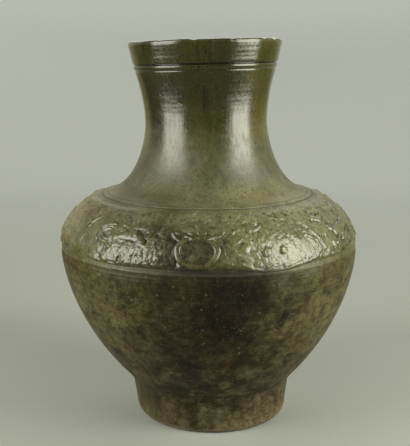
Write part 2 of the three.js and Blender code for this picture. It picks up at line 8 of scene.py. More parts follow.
import bpy
import numpy as np
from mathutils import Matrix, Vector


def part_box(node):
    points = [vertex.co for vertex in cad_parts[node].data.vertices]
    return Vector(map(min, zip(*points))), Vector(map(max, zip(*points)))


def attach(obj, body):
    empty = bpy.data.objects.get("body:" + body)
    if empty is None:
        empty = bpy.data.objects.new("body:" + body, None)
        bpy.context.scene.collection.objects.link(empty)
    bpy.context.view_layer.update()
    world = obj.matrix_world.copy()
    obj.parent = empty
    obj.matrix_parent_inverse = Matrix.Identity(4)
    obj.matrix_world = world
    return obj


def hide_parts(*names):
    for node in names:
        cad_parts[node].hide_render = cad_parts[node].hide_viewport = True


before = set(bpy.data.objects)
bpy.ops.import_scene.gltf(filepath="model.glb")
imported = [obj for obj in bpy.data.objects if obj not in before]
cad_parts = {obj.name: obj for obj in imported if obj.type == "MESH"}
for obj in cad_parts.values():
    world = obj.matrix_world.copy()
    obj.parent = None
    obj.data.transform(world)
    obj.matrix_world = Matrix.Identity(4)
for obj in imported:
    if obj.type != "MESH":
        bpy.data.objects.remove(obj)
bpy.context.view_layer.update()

MM = 0.001

# Levels of the luted seams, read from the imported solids
FOOT_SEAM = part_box("foot_ring")[1].z / MM
GIRTH_SEAM = round(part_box("shoulder_dome")[0].z / MM)
NECK_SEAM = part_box("shoulder_dome")[1].z / MM
MOUTH_SEAM = 376.0
TOTAL_HEIGHT = 400.0

# Outer radii
STANDING_RADIUS = 76.6
FOOT_SIDE_RADIUS = 82.9
FOOT_TOP_RADIUS = 86.4
BOWL_SEAM_RADIUS = 90.2
GIRTH_RADIUS = 158.7
NECK_BASE_RADIUS = 112.0
WAIST_RADIUS = 64.1
MOUTH_SEAM_RADIUS = 74.4
LIP_RADIUS = 80.2
WAIST_HEIGHT = NECK_SEAM + 73.5

# Walls
FOOT_WALL = 13.0
BODY_WALL = 9.5
NECK_WALL = 8.5
MOUTH_WALL = 9.0
FLOOR_HEIGHT = 56.3
FLOOR_BEND = 17.7
HOLLOW_RISE = 2.0
FOOT_BEVEL = 2.0
LIP_ROUNDING = (2.0, 2.5)

# The kiln left the jar leaning and its mouth tilted
LEAN = 7.5
MOUTH_TILT = math.tan(math.radians(1.5))
TILT_END = MOUTH_SEAM - 4.5

# Frieze on the shoulder, as lifts off the dome and places along its curve
DOME_START_HEIGHT = GIRTH_SEAM + 6.4
FRIEZE_LOW = 1.0
FRIEZE_WIDTH = 63.6
STRIP_GROUND = 1.6
RELIEF_HEIGHT = 1.3
FRIEZE_RADIUS = 145.0

# Fineness of the meshes
TURN_STEPS = 384
LINE_STEP = 0.25
CURVE_POINTS = 60
WELT_STEP = 0.7


# Lines in the [radius, height] plane

def thrown_curve(start, start_angle, start_reach, end, end_angle, end_reach):
    """Cubic curve between two points whose end tangents have an angle from level and a reach."""
    angles = np.radians([start_angle, end_angle])
    first, last = np.array(start, float), np.array(end, float)
    leave = first + start_reach * np.array([np.cos(angles[0]), np.sin(angles[0])])
    arrive = last - end_reach * np.array([np.cos(angles[1]), np.sin(angles[1])])
    t = np.linspace(0.0, 1.0, CURVE_POINTS)[:, None]
    return ((1 - t) ** 3 * first + 3 * (1 - t) ** 2 * t * leave
            + 3 * (1 - t) * t ** 2 * arrive + t ** 3 * last)


def rounded(start, corner, end, count=12):
    """Quadratic curve from start to end that rounds off a corner."""
    t = np.linspace(0.0, 1.0, count)[:, None]
    start, corner, end = (np.array(p, float) for p in (start, corner, end))
    return (1 - t) ** 2 * start + 2 * (1 - t) * t * corner + t ** 2 * end


def lengths(line):
    """Distance along a line from its start to each of its points."""
    steps = np.hypot(*np.diff(line, axis=0).T)
    return np.concatenate([[0.0], np.cumsum(steps)])


def evenly(line):
    """The same line with its points LINE_STEP apart."""
    along = lengths(line)
    keep = np.concatenate([[True], np.diff(along) > 1e-9])
    along, line = along[keep], line[keep]
    at = np.linspace(0.0, along[-1], max(2, int(round(along[-1] / LINE_STEP)) + 1))
    return np.stack([np.interp(at, along, line[:, k]) for k in (0, 1)], axis=1)


def softened(line, reach):
    """The line averaged with bell weights of that reach; its two ends stay where they are."""
    line = evenly(line)
    half = int(3 * reach / LINE_STEP)
    bell = np.exp(-0.5 * (np.arange(-half, half + 1) * LINE_STEP / reach) ** 2)
    bell /= bell.sum()
    before = 2 * line[0] - line[half:0:-1]
    after = 2 * line[-1] - line[-2:-half - 2:-1]
    padded = np.concatenate([before, line, after])
    return np.stack([np.convolve(padded[:, k], bell, "valid") for k in (0, 1)], axis=1)


def side_of(line):
    """Unit vectors square to a rising line, pointing away from the axis."""
    along = np.gradient(line, axis=0)
    along /= np.hypot(*along.T)[:, None]
    return np.stack([along[:, 1], -along[:, 0]], axis=1)


def eager_rows(line, count, eagerness):
    """Row numbers that crowd where the line bends: equal steps of length plus eagerness x bend."""
    along = np.gradient(line, axis=0)
    angle = np.unwrap(np.arctan2(along[:, 1], along[:, 0]))
    weight = np.hypot(*along.T) + eagerness * np.abs(np.gradient(angle))
    total = np.concatenate([[0.0], np.cumsum(0.5 * (weight[1:] + weight[:-1]))])
    wanted = np.linspace(0.0, total[-1], count)
    return np.interp(wanted, total, np.arange(len(line)))


def at_rows(line, rows):
    """Points of a line at fractional row numbers."""
    numbers = np.arange(len(line))
    return np.stack([np.interp(rows, numbers, line[:, k]) for k in range(line.shape[1])], axis=1)


# The thrown wall from the standing edge to the lip, bare of its fillets and grooves
neck_line = np.array([math.cos(math.radians(160)), math.sin(math.radians(160))])
neck_base = np.array([NECK_BASE_RADIUS, NECK_SEAM])
flare_start = neck_base + 6.8 * neck_line
upper_neck_end = (MOUTH_SEAM_RADIUS - 1.0, MOUTH_SEAM - 6.0)
bowl_end = (GIRTH_RADIUS - 0.9, GIRTH_SEAM - 6.4)
dome_start = (GIRTH_RADIUS - 2.4, DOME_START_HEIGHT)
wall = np.concatenate([
    rounded((STANDING_RADIUS, 0), (FOOT_SIDE_RADIUS, 2), (FOOT_SIDE_RADIUS, 13)),
    rounded((FOOT_TOP_RADIUS, FOOT_SEAM - 6), (FOOT_TOP_RADIUS + 1.2, FOOT_SEAM - 1),
            (BOWL_SEAM_RADIUS, FOOT_SEAM)),
    thrown_curve((BOWL_SEAM_RADIUS + 3, FOOT_SEAM + 4.3), 47, 70, bowl_end, 86, 28),
    thrown_curve(dome_start, 91, 15, neck_base, 160, 30),
    thrown_curve(flare_start, 165, 37, (WAIST_RADIUS, WAIST_HEIGHT), 90, 7.5),
    thrown_curve((WAIST_RADIUS, WAIST_HEIGHT), 90, 26, upper_neck_end, 76, 6)[1:],
    [(MOUTH_SEAM_RADIUS, MOUTH_SEAM - 3.5), (MOUTH_SEAM_RADIUS + 0.9, MOUTH_SEAM - 0.4)],
    [(MOUTH_SEAM_RADIUS + 1.3, MOUTH_SEAM + 1.2), (LIP_RADIUS - 1.1, TOTAL_HEIGHT - 8.0)],
    rounded((LIP_RADIUS - 1.1, TOTAL_HEIGHT - 8.0), (LIP_RADIUS - 0.1, TOTAL_HEIGHT - 4.5),
            (LIP_RADIUS, TOTAL_HEIGHT - 3.0), 6),
    rounded((LIP_RADIUS, TOTAL_HEIGHT - 3.0), (LIP_RADIUS, TOTAL_HEIGHT),
            (LIP_RADIUS - 2.2, TOTAL_HEIGHT)),
])
wall = softened(wall, 0.7)
wall_length = lengths(wall)
wall_side = side_of(wall)


def along_at(height):
    """Distance along the wall at which it reaches a height."""
    return float(np.interp(height, wall[:, 1], wall_length))


# Turned marks on the wall: height, distance on from there, reach and rise (a groove is negative)
TURNED_MARKS = [
    (163.5, 0.0, 0.6, -0.3),
    (183.4, 0.0, 0.55, 0.3),
    (188.6, 0.0, 1.0, 0.4),
    (192.2, 0.0, 0.8, -0.15),
    (NECK_SEAM, 0.0, 0.7, -0.9),
    (NECK_SEAM, 2.6, 1.3, 0.16),
    (NECK_SEAM, 5.4, 0.55, -0.45),
    (MOUTH_SEAM - 5.8, 0.0, 0.5, -0.35),
    (MOUTH_SEAM - 3.0, 0.0, 1.0, 0.3),
    (MOUTH_SEAM, 0.0, 0.6, -1.4),
]
mark_rise = np.zeros(len(wall))
for height, onward, reach, rise in TURNED_MARKS:
    off = (wall_length - along_at(height) - onward) / reach
    mark_rise += rise * np.exp(-0.5 * off ** 2)
marked_wall = wall + wall_side * mark_rise[:, None]
# Grooves get pooled glaze and painted shade, ridges wear and a painted highlight
wall_pooling_shade_and_sheen = np.clip(-mark_rise / 0.8, -1.0, 1.0)


def smooth_step(share):
    """Smooth rise from 0 to 1 of a share that is already between them."""
    return share * share * (3 - 2 * share)


def hand(turn, height):
    """How far the potter's hand left the wall in or out: slow ovals, ripples of the fingers."""
    angle = np.radians(turn)
    oval = 0.28 * np.sin(2 * angle + height / 70 + 0.6) + 0.16 * np.sin(3 * angle - height / 45)
    ripple = (0.02 * np.sin(2 * np.pi * height / 9.7 + 1.4 * np.sin(angle))
              + 0.014 * np.sin(2 * np.pi * height / 4.3 + 2.0 * np.cos(angle + 1)))
    return oval + ripple - 0.3


def warped(points):
    """Lean the jar about its girth and tilt it more and more from the neck base to the mouth."""
    x, height = points[..., 0].copy(), points[..., 2].copy()
    share = np.clip((height - NECK_SEAM) / (TILT_END - NECK_SEAM), 0, 1)
    points[..., 0] = x - LEAN * (height - GIRTH_SEAM) / TOTAL_HEIGHT
    points[..., 2] = height + x * MOUTH_TILT * smooth_step(share)
    return points


def placed(radius, turn, height):
    """Points at a radius, a turn from the front mask and a height, with the kiln's warp."""
    angle = np.radians(turn)
    radius, angle, height = np.broadcast_arrays(radius, angle, height)
    points = np.stack([radius * np.sin(angle), -radius * np.cos(angle), height], axis=-1)
    return warped(points.astype(float))


# Meshes

def make_piece(name, points, faces, pooling_shade_and_sheen, bare, slot, sharp=50):
    """A smooth-shaded mesh that stands for the solid of its name, in the glaze of its slot."""
    mesh = bpy.data.meshes.new(name)
    mesh.from_pydata((points * MM).tolist(), [], faces)
    mesh.polygons.foreach_set("use_smooth", np.ones(len(mesh.polygons), bool))
    for title, values in (("pooling_shade_and_sheen", pooling_shade_and_sheen), ("bare", bare)):
        layer = mesh.attributes.new(title, "FLOAT", "POINT")
        layer.data.foreach_set("value", np.asarray(values, np.float32))
    mesh.validate()
    mesh.update()
    mesh.set_sharp_from_angle(angle=math.radians(sharp))
    mesh.materials.append(glazes[slot])
    piece = bpy.data.objects.new(name, mesh)
    bpy.context.scene.collection.objects.link(piece)
    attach(piece, "root")
    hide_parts(name)


def grid_faces(rows, columns, wrap_rows, wrap_columns):
    """Four-sided faces of a grid of points, joined round where it wraps."""
    number = np.arange(rows * columns).reshape(rows, columns)
    below = number if wrap_rows else number[:-1]
    above = np.roll(number, -1, axis=0) if wrap_rows else number[1:]

    def onward(table):
        return np.roll(table, -1, axis=1) if wrap_columns else table[:, 1:]

    trim = (lambda table: table) if wrap_columns else (lambda table: table[:, :-1])
    corners = [trim(below), onward(below), onward(above), trim(above)]
    return np.stack([c.ravel() for c in corners], axis=1)


def turned_piece(name, slot, stretches, on_axis=False, dent=None):
    """Turn the stretches' closed line about the axis, or one that starts and ends on it.

    Each row of points is a circle whose radius gets the hand's unevenness; the first and last
    rows of a line that starts on the axis shrink to one point each."""
    line, pooling_shade_and_sheen, bare = loop_of(stretches)
    turns = np.arange(TURN_STEPS)[None, :] * 360.0 / TURN_STEPS
    body = line[1:-1] if on_axis else line
    radius, height = body[:, :1], body[:, 1:]
    wide = radius + hand(turns, height)
    if dent is not None:
        wide, height = dent(wide, turns, height)
    points = placed(wide, turns, height).reshape(-1, 3)
    faces = grid_faces(len(body), TURN_STEPS, not on_axis, True).tolist()
    inner = slice(1, -1) if on_axis else slice(None)
    pooling_shade_and_sheen, bare = (np.repeat(values[inner], TURN_STEPS) for values in (pooling_shade_and_sheen, bare))
    if on_axis:
        first_pole = len(points)
        points = np.concatenate([points, placed(np.zeros(2), np.zeros(2), line[[0, -1], 1])])
        ring = np.arange(TURN_STEPS)
        onward = np.roll(ring, -1)
        last_ring = (len(body) - 1) * TURN_STEPS
        pole = np.full(TURN_STEPS, first_pole)
        faces += np.stack([pole, onward, ring], axis=1).tolist()
        faces += np.stack([pole + 1, last_ring + ring, last_ring + onward], axis=1).tolist()
        pooling_shade_and_sheen, bare = (np.append(values, values[[0, -1]]) for values in (pooling_shade_and_sheen, bare))
    make_piece(name, points, faces, pooling_shade_and_sheen, bare, slot)


def wall_between(low, high, count):
    """Rows of the marked wall between two distances along it, with their pooling, painted shade and
    sheen.
    """
    inside = (wall_length > low + 0.1) & (wall_length < high - 0.1)
    at = np.concatenate([[low], wall_length[inside], [high]])
    line = np.stack([np.interp(at, wall_length, marked_wall[:, k]) for k in (0, 1)], axis=1)
    pooling_shade_and_sheen = np.interp(at, wall_length, wall_pooling_shade_and_sheen)
    rows = eager_rows(line, count, 5.0)
    chosen = at_rows(np.column_stack([line, pooling_shade_and_sheen]), rows)
    return chosen[:, :2], chosen[:, 2]


# Inner face of the jar: the wall smoothed and drawn in by a thickness that changes with height
smooth_wall = softened(wall, 7.0)
thickness = np.interp(
    smooth_wall[:, 1],
    [60, 200, 250, 370, 395],
    [BODY_WALL, BODY_WALL, NECK_WALL, NECK_WALL, MOUTH_WALL])
inner_wall = smooth_wall - side_of(smooth_wall) * thickness[:, None]
inner_wall = inner_wall[(smooth_wall[:, 1] > 70) & (smooth_wall[:, 1] < TOTAL_HEIGHT - 6)]
climbing = np.diff(np.maximum.accumulate(inner_wall[:, 1])) > 0
inner_wall = inner_wall[np.concatenate([[True], climbing])]


def inner_radius(height):
    """Radius of the jar's inner face at a height."""
    return float(np.interp(height, inner_wall[:, 1], inner_wall[:, 0]))


def inner_between(high, low, count):
    """Rows of the inner face from one height down to another."""
    heights = np.linspace(high, low, count)
    return np.stack([np.interp(heights, inner_wall[:, 1], inner_wall[:, 0]), heights], axis=1)


def across(start, end, count=4):
    """Points strictly between two corners, for a flat seam or edge."""
    share = np.linspace(0, 1, count + 2)[1:-1, None]
    return np.array(start) + share * (np.array(end) - np.array(start))


def loop_of(stretches):
    """One line of all the stretches, (line, bareness) or (line, bareness, pooling with painted
    shade and sheen), with both.
    """
    lines, pooling_shade_and_sheen_parts, bares = [], [], []
    for line, bareness, *pooling_shade_and_sheen in stretches:
        line = np.asarray(line, float).reshape(-1, 2)
        lines.append(line)
        bares.append(np.zeros(len(line)) + bareness)
        pooling_shade_and_sheen_parts.append(pooling_shade_and_sheen[0] if pooling_shade_and_sheen else np.zeros(len(line)))
    return np.concatenate(lines), np.concatenate(pooling_shade_and_sheen_parts), np.concatenate(bares)


# Materials

def linear(colour):
    """Linear light of a colour that is written as three screen values from 0 to 255."""
    value = np.asarray(colour, float) / 255
    return tuple(np.where(value <= 0.04045, value / 12.92, ((value + 0.055) / 1.055) ** 2.4))


def solid(colour):
    """A colour socket's value from three screen values."""
    return (*linear(colour), 1.0)


class Nodes:
    """Adds nodes to one material and joins them; starts with the place on the object."""

    def __init__(self, name):
        self.material = bpy.data.materials.new(name)
        self.material.use_nodes = True
        self.tree = self.material.node_tree
        self.shader = self.tree.nodes["Principled BSDF"]
        self.place = self.add("ShaderNodeTexCoord", {}, 3)
        apart = self.tree.nodes.new("ShaderNodeSeparateXYZ")
        self.put(apart.inputs[0], self.place)
        self.x, self.y, self.z = apart.outputs

    def put(self, socket, value):
        """Give a socket its value, or join it to the socket that the value is."""
        if isinstance(value, bpy.types.NodeSocket):
            self.tree.links.new(value, socket)
        else:
            socket.default_value = value

    def add(self, kind, inputs, out=0, **settings):
        """Output of a new node whose inputs and settings are given by name."""
        made = self.tree.nodes.new(kind)
        for name, value in settings.items():
            setattr(made, name, value)
        for name, value in inputs.items():
            self.put(made.inputs[name], value)
        return made.outputs[out]

    def math(self, operation, *values):
        """Result of one operation on the values."""
        made = self.tree.nodes.new("ShaderNodeMath")
        made.operation = operation
        for socket, value in zip(made.inputs, values):
            self.put(socket, value)
        return made.outputs[0]

    def times(self, product, *others):
        """Product of the values."""
        for other in others:
            product = self.math("MULTIPLY", product, other)
        return product

    def plus(self, base, value, factor=1.0):
        """The base with the value times a factor added."""
        return self.math("MULTIPLY_ADD", value, factor, base)

    def strayed(self, base, noise, reach):
        """The base moved by a noise, as far as half the reach either way."""
        return self.plus(base, self.math("SUBTRACT", noise, 0.5), reach)

    def noise(self, scale, detail=3.0, roughness=0.55, distortion=0.0, place=None):
        """Noise from 0 to 1 over the object, or over another place."""
        return self.add("ShaderNodeTexNoise", {
            "Vector": self.place if place is None else place, "Scale": scale, "Detail": detail,
            "Roughness": roughness, "Distortion": distortion})

    def stretched_noise(self, scales, detail=3.0):
        """Noise with its own scale along each axis."""
        place = self.add("ShaderNodeMapping", {"Vector": self.place, "Scale": scales})
        return self.noise(1.0, detail, 0.6, 0.0, place)

    def between(self, value, low, high, to_low=0.0, to_high=1.0):
        """Smooth step of a value from low to high."""
        return self.add("ShaderNodeMapRange", {
            "Value": value, "From Min": low, "From Max": high,
            "To Min": to_low, "To Max": to_high}, interpolation_type="SMOOTHSTEP")

    def window(self, value, low, low_full, high_full, high):
        """Smooth rise from low to low_full and smooth fall from high_full to high."""
        return self.times(self.between(value, low, low_full), self.between(value, high, high_full))

    def ramp(self, value, stops):
        """Linear light by steps of a place and its three values."""
        made = self.tree.nodes.new("ShaderNodeValToRGB")
        self.put(made.inputs[0], value)
        elements = made.color_ramp.elements
        while len(elements) < len(stops):
            elements.new(1.0)
        for element, (at, light) in zip(elements, stops):
            element.position = at
            element.color = (*light, 1.0)
        return made.outputs[0]

    def mixed(self, share, first, second, blend="MIX"):
        """Second colour over the first, as far as the share says."""
        made = self.tree.nodes.new("ShaderNodeMix")
        made.data_type = "RGBA"
        made.blend_type = blend
        made.clamp_factor = True
        self.put(made.inputs[0], share)
        self.put(made.inputs[6], first)
        self.put(made.inputs[7], second)
        return made.outputs[2]


# Glaze tone by height, from the standing edge to the lip, as shares of the total height
GLAZE_BY_HEIGHT = [
    (0.00, (150, 142, 118)),
    (0.035, (124, 115, 88)),
    (0.065, (96, 89, 64)),
    (0.09, (80, 73, 52)),
    (0.13, (84, 77, 56)),
    (0.18, (80, 74, 51)),
    (0.34, (117, 112, 72)),
    (0.45, (94, 91, 54)),
    (0.466, (96, 93, 56)),
    (0.474, (108, 105, 67)),
    (0.483, (104, 102, 65)),
    (0.52, (102, 101, 64)),
    (0.60, (115, 116, 85)),
    (0.67, (81, 80, 51)),
    (0.76, (74, 74, 37)),
    (0.88, (46, 46, 17)),
    (1.00, (62, 61, 27)),
]

# Roughness of the glaze by height: dull foot and belly, wet lower frieze, soiled upper shoulder
# and flare, wet neck and mouth
ROUGHNESS_BY_HEIGHT = [
    (0.00, 0.50), (0.12, 0.48), (0.42, 0.42), (0.4675, 0.40), (0.4693, 0.12), (0.4713, 0.12),
    (0.4730, 0.46), (0.4800, 0.46), (0.4825, 0.18), (0.545, 0.17), (0.585, 0.42), (0.61, 0.58),
    (0.64, 0.56), (0.68, 0.40), (0.73, 0.24), (0.80, 0.14), (0.92, 0.13), (0.95, 0.09),
    (1.00, 0.09),
]


class Coat(Nodes):
    """Nodes of one glaze: its tone so far, the turn about the jar, noises that marks share."""

    def __init__(self, name):
        super().__init__(name)
        self.turn = self.math("ARCTAN2", self.x, self.times(self.y, -1.0))
        self.mid = self.noise(26.0, 5.0, 0.62, 0.6)
        self.small = self.noise(95.0, 5.0, 0.65)
        self.fine = self.noise(420.0, 4.0, 0.7)
        self.grain = self.noise(1100.0, 2.0, 0.6)
        self.threads = self.stretched_noise((520.0, 520.0, 16.0))
        self.lines = self.stretched_noise((5.0, 5.0, 700.0))

    def attribute(self, name):
        """Value of that name that the mesh carries at each of its points."""
        return self.add("ShaderNodeAttribute", {}, 2, attribute_name=name)

    def tint(self, colour, *shares):
        """Cover the tone with a colour, as far as the product of the shares says."""
        self.tone = self.mixed(self.times(*shares), self.tone, solid(colour))

    def wash(self, colour, *shares):
        """Multiply the tone by a colour, as far as the product of the shares says."""
        self.tone = self.mixed(self.times(*shares), self.tone, solid(colour), "MULTIPLY")


def side_light_and_tones(coat):
    """Painted light on the sides of the shoulder, the left edge of the neck and its olive right
    side; a brown stripe on the neck's left, soot over the front ring.
    """
    turn, z = coat.turn, coat.z
    # Painted light: the far left side of the shoulder lighter
    coat.tint(
        (146, 142, 104), coat.between(turn, -0.86, -1.1), coat.window(z, 0.195, 0.21, 0.235, 0.255),
        0.9)
    coat.wash(
        (212, 206, 170), coat.window(turn, -1.15, -1.0, -0.3, -0.15),
        coat.window(z, 0.218, 0.230, 0.248, 0.258))
    # Painted light: the right side of the shoulder lighter, less where the right soft box's own
    # gleam lies
    gleaming = coat.times(coat.between(turn, 0.36, 0.48, 0.0, 0.5), coat.between(z, 0.236, 0.222))
    coat.tint(
        (139, 137, 99), coat.between(turn, 0.08, 0.35), coat.between(turn, 0.9, 1.25, 1.0, 0.35),
        coat.math("SUBTRACT", 1.0, gleaming), coat.window(z, 0.195, 0.205, 0.248, 0.272), 0.7)
    coat.tint(
        (54, 42, 20), coat.window(turn, -1.08, -0.92, -0.78, -0.60),
        coat.window(z, 0.27, 0.31, 0.335, 0.365), 0.7)
    # Painted light: the left edge of the neck lighter
    coat.tint((98, 92, 50), coat.between(turn, -0.98, -1.12), coat.between(z, 0.27, 0.30), 0.7)
    # Painted light: the right side of the neck lighter, in an olive tone
    coat.tint(
        (100, 96, 42), coat.between(turn, 0.35, 0.9), coat.between(z, 0.285, 0.31),
        coat.between(z, 0.35, 0.32, 0.6, 1.0), 0.6)
    from_centre = coat.math("DIVIDE", coat.math("ADD", turn, 0.16), 0.30)
    sooty = coat.math("EXPONENT", coat.times(from_centre, from_centre, -1.0))
    coat.tint(
        (58, 53, 28), sooty, coat.between(z, 0.220, 0.240, 1.0, 0.0),
        coat.between(coat.mid, 0.36, 0.52, 0.7, 1.0))


def weathering(coat, pale_mottle):
    """Green and brown patches, upright streaks, turned lines, mottling, grain and a pale mottle
    from the lower neck down.
    """
    z, small = coat.z, coat.small
    below_girth = coat.between(z, 0.20, 0.18)
    coat.wash(
        (190, 222, 172), coat.between(coat.mid, 0.48, 0.62), coat.between(z, 0.17, 0.20, 0.2, 0.45))
    coat.wash(
        (226, 206, 170), coat.between(coat.noise(11.0, 4.0, 0.6, 0.4), 0.50, 0.62),
        coat.between(z, 0.02, 0.07, 0.2, 0.7))
    streaks = coat.stretched_noise((75.0, 75.0, 5.0), 4.0)
    coat.wash((186, 178, 150), coat.between(streaks, 0.45, 0.72, 0.0, 0.7))
    coat.wash(
        (190, 170, 134), coat.between(coat.threads, 0.47, 0.68, 0.0, 0.85),
        coat.between(z, 0.19, 0.26))
    coat.wash((192, 184, 170), coat.between(coat.lines, 0.46, 0.64, 0.0, 0.6), below_girth)
    coat.wash((186, 178, 166), coat.between(small, 0.44, 0.58, 0.0, 0.7), below_girth)
    coat.wash(
        (192, 180, 142), coat.between(coat.fine, 0.44, 0.60), coat.between(z, 0.275, 0.24),
        coat.between(z, 0.18, 0.20, 0.35, 1.0), 0.6)
    # Pale mottle from the lower neck down, as strong as the slot's share
    coat.tint(
        (142, 136, 102), coat.between(small, 0.46, 0.66), coat.between(z, 0.34, 0.28, 0.0, pale_mottle))


def burnt_front(coat):
    """How far the fire burnt the glaze: a patch on the front of the belly, drifting with height."""
    z, turn, small, mid = coat.z, coat.turn, coat.small, coat.mid
    drift = coat.plus(turn, coat.math("SUBTRACT", z, 0.19), 2.0)
    rough_edge = coat.plus(mid, small, 0.5)
    left_edge = coat.between(coat.plus(drift, rough_edge, 0.7), 0.05, 0.64)
    right_edge = coat.between(coat.plus(drift, rough_edge, -0.8), -0.38, 0.16, 1.0, 0.0)
    risen = coat.plus(coat.plus(z, small, 0.006), turn, 0.006)
    top_edge = coat.between(risen, 0.195, 0.201, 1.0, 0.0)
    low_edge = coat.between(coat.plus(z, mid, 0.09), 0.11, 0.20)
    return coat.times(left_edge, right_edge, top_edge, low_edge)


def belly_patches(coat, burnt):
    """Dark blots, tan, ruddy and ashen patches, nicks and mottling, and a dark left of the foot."""
    z, turn = coat.z, coat.turn
    below_girth = coat.between(z, 0.20, 0.18)
    blots = coat.noise(52.0, 5.0, 0.64, 0.3)
    coat.tint(
        (30, 26, 15), coat.between(blots, 0.50, 0.63), coat.window(z, 0.006, 0.034, 0.15, 0.185),
        coat.between(coat.math("ABSOLUTE", turn), 0.7, 1.1, 1.0, 0.55), 0.75)
    coat.tint((112, 104, 78), coat.between(blots, 0.48, 0.36), coat.between(z, 0.14, 0.05), 0.6)
    coat.wash(
        (226, 198, 198), coat.between(coat.noise(38.0, 4.0, 0.6), 0.50, 0.64), below_girth, 0.6)
    coat.tint(
        (88, 89, 64), coat.between(coat.noise(44.0, 4.0, 0.6, 0.5), 0.50, 0.64), below_girth,
        coat.between(burnt, 0.1, 0.8, 0.4, 0.12))
    coat.tint(
        (128, 122, 100), coat.between(coat.noise(330.0, 1.0, 0.4), 0.70, 0.76, 0.0, 0.6),
        below_girth)
    coat.wash(
        (176, 168, 152), coat.between(coat.noise(170.0, 4.0, 0.62), 0.44, 0.60), below_girth, 0.7)
    coat.tint(
        (58, 48, 32), coat.between(turn, -0.15, -0.5), coat.between(z, 0.06, 0.035),
        coat.between(coat.mid, 0.36, 0.52, 0.2, 0.6))


def fine_marks(coat):
    """Pooled glaze with painted shade in hollows, rubbed crests with a painted highlight, pale and
    dark specks, a hairline and a scratch on the neck.
    """
    z, turn = coat.z, coat.turn
    pooling_shade_and_sheen = coat.attribute("pooling_shade_and_sheen")
    # Pooled glaze and painted shade in hollows and grooves, under the strips' feet and round the
    # rings
    coat.tint((22, 17, 5), coat.between(pooling_shade_and_sheen, 0.05, 1.0, 0.0, 0.88))
    # Wear and a painted highlight on crests
    coat.tint((126, 118, 80), coat.between(pooling_shade_and_sheen, -0.1, -1.0, 0.0, 0.24))
    coat.tint(
        (116, 112, 84), coat.between(coat.fine, 0.56, 0.72, 0.0, 0.35),
        coat.between(coat.mid, 0.36, 0.60))
    coat.wash((172, 166, 142), coat.between(coat.grain, 0.46, 0.62, 0.0, 0.6))
    dark_specks = coat.noise(300.0, 2.0, 0.5)
    coat.tint((18, 15, 7), coat.between(dark_specks, 0.38, 0.30, 0.0, 0.6))
    from_hairline = coat.math("ABSOLUTE", coat.strayed(turn, coat.small, 0.05))
    coat.tint(
        (14, 12, 5), coat.between(from_hairline, 0.004, 0.014, 0.8, 0.0),
        coat.window(z, 0.325, 0.336, 0.350, 0.358))
    slanting = coat.math("SUBTRACT", coat.plus(z, turn, 0.024), 0.3285)
    from_scratch = coat.math("ABSOLUTE", slanting)
    coat.tint(
        (150, 145, 105), coat.between(from_scratch, 0.0002, 0.0007, 0.6, 0.0),
        coat.between(coat.fine, 0.42, 0.52), coat.window(turn, -0.76, -0.68, -0.34, -0.26))


def glaze(name, grit, pale_mottle, shine):
    """Olive lead glaze over brown clay: colour by height, painted side light, patches, a burnt
    front, pooled glaze and painted shade in hollows, a painted shadow along the standing edge.

    grit is how rough its skin is in millimetres, pale_mottle how strong its pale mottle is and
    shine how strongly it mirrors."""
    coat = Coat(name)
    z, small = coat.z, coat.small
    level = coat.math("DIVIDE", z, TOTAL_HEIGHT * MM)
    stops = [(at, linear(colour)) for at, colour in GLAZE_BY_HEIGHT]
    coat.tone = coat.ramp(coat.strayed(level, coat.noise(7.0), 0.08), stops)
    side_light_and_tones(coat)
    weathering(coat, pale_mottle)
    burnt = burnt_front(coat)
    coat.tint((27, 22, 11), burnt, coat.between(small, 0.36, 0.66, 0.99, 0.92))
    belly_patches(coat, burnt)
    fine_marks(coat)
    clay = coat.mixed(coat.between(coat.mid, 0.4, 0.65), solid((112, 102, 82)), solid((84, 77, 60)))
    worn = coat.between(coat.strayed(coat.attribute("bare"), small, 1.1), 0.35, 0.6)
    coat.tone = coat.mixed(worn, coat.tone, clay)
    # Painted contact shadow along the standing edge, over its lowest few millimetres
    coat.tint((26, 22, 15), coat.between(z, 0.0006, 0.0026, 0.85, 0.0))
    coat.put(coat.shader.inputs["Base Color"], coat.tone)

    rough = coat.ramp(level, [(at, (value,) * 3) for at, value in ROUGHNESS_BY_HEIGHT])
    rough = coat.plus(rough, coat.between(small, 0.46, 0.66, 0.0, 0.08))
    rough = coat.plus(rough, coat.between(coat.fine, 0.5, 0.7, 0.0, 0.06))
    threaded = coat.between(coat.threads, 0.45, 0.65, 0.0, 0.14)
    rough = coat.plus(rough, threaded, coat.between(z, 0.25, 0.30))
    rough = coat.plus(rough, burnt, 0.35)
    rough = coat.math("MAXIMUM", rough, coat.times(worn, 0.85))
    coat.put(coat.shader.inputs["Roughness"], rough)
    coat.shader.inputs["IOR"].default_value = 1.65
    coat.shader.inputs["Specular IOR Level"].default_value = shine

    skin = coat.times(small, 1.5)
    textures = (coat.fine, 0.8), (coat.grain, 0.3), (coat.lines, 0.15), (coat.threads, 0.35)
    for noise, weight in textures:
        skin = coat.plus(skin, noise, weight)
    bump = coat.add("ShaderNodeBump", {"Strength": 1.0, "Distance": grit * MM, "Height": skin})
    coat.put(coat.shader.inputs["Normal"], bump)
    return coat.material


# Grit, pale mottle and shine of the glaze in each slot
GLAZE_SKINS = {
    "neck_glaze": (0.09, 0.12, 0.5),
    "shoulder_glaze": (0.16, 0.30, 0.25),
    "frieze_glaze": (0.28, 0.30, 0.5),
    "belly_glaze": (0.20, 0.10, 0.1),
    "foot_glaze": (0.20, 0.20, 0.1),
}
glazes = {slot: glaze(slot, *skin) for slot, skin in GLAZE_SKINS.items()}

# The five thrown sections
foot_top = along_at(FOOT_SEAM)
girth = along_at(GIRTH_SEAM)
neck_start = along_at(NECK_SEAM)
mouth_start = along_at(MOUTH_SEAM)


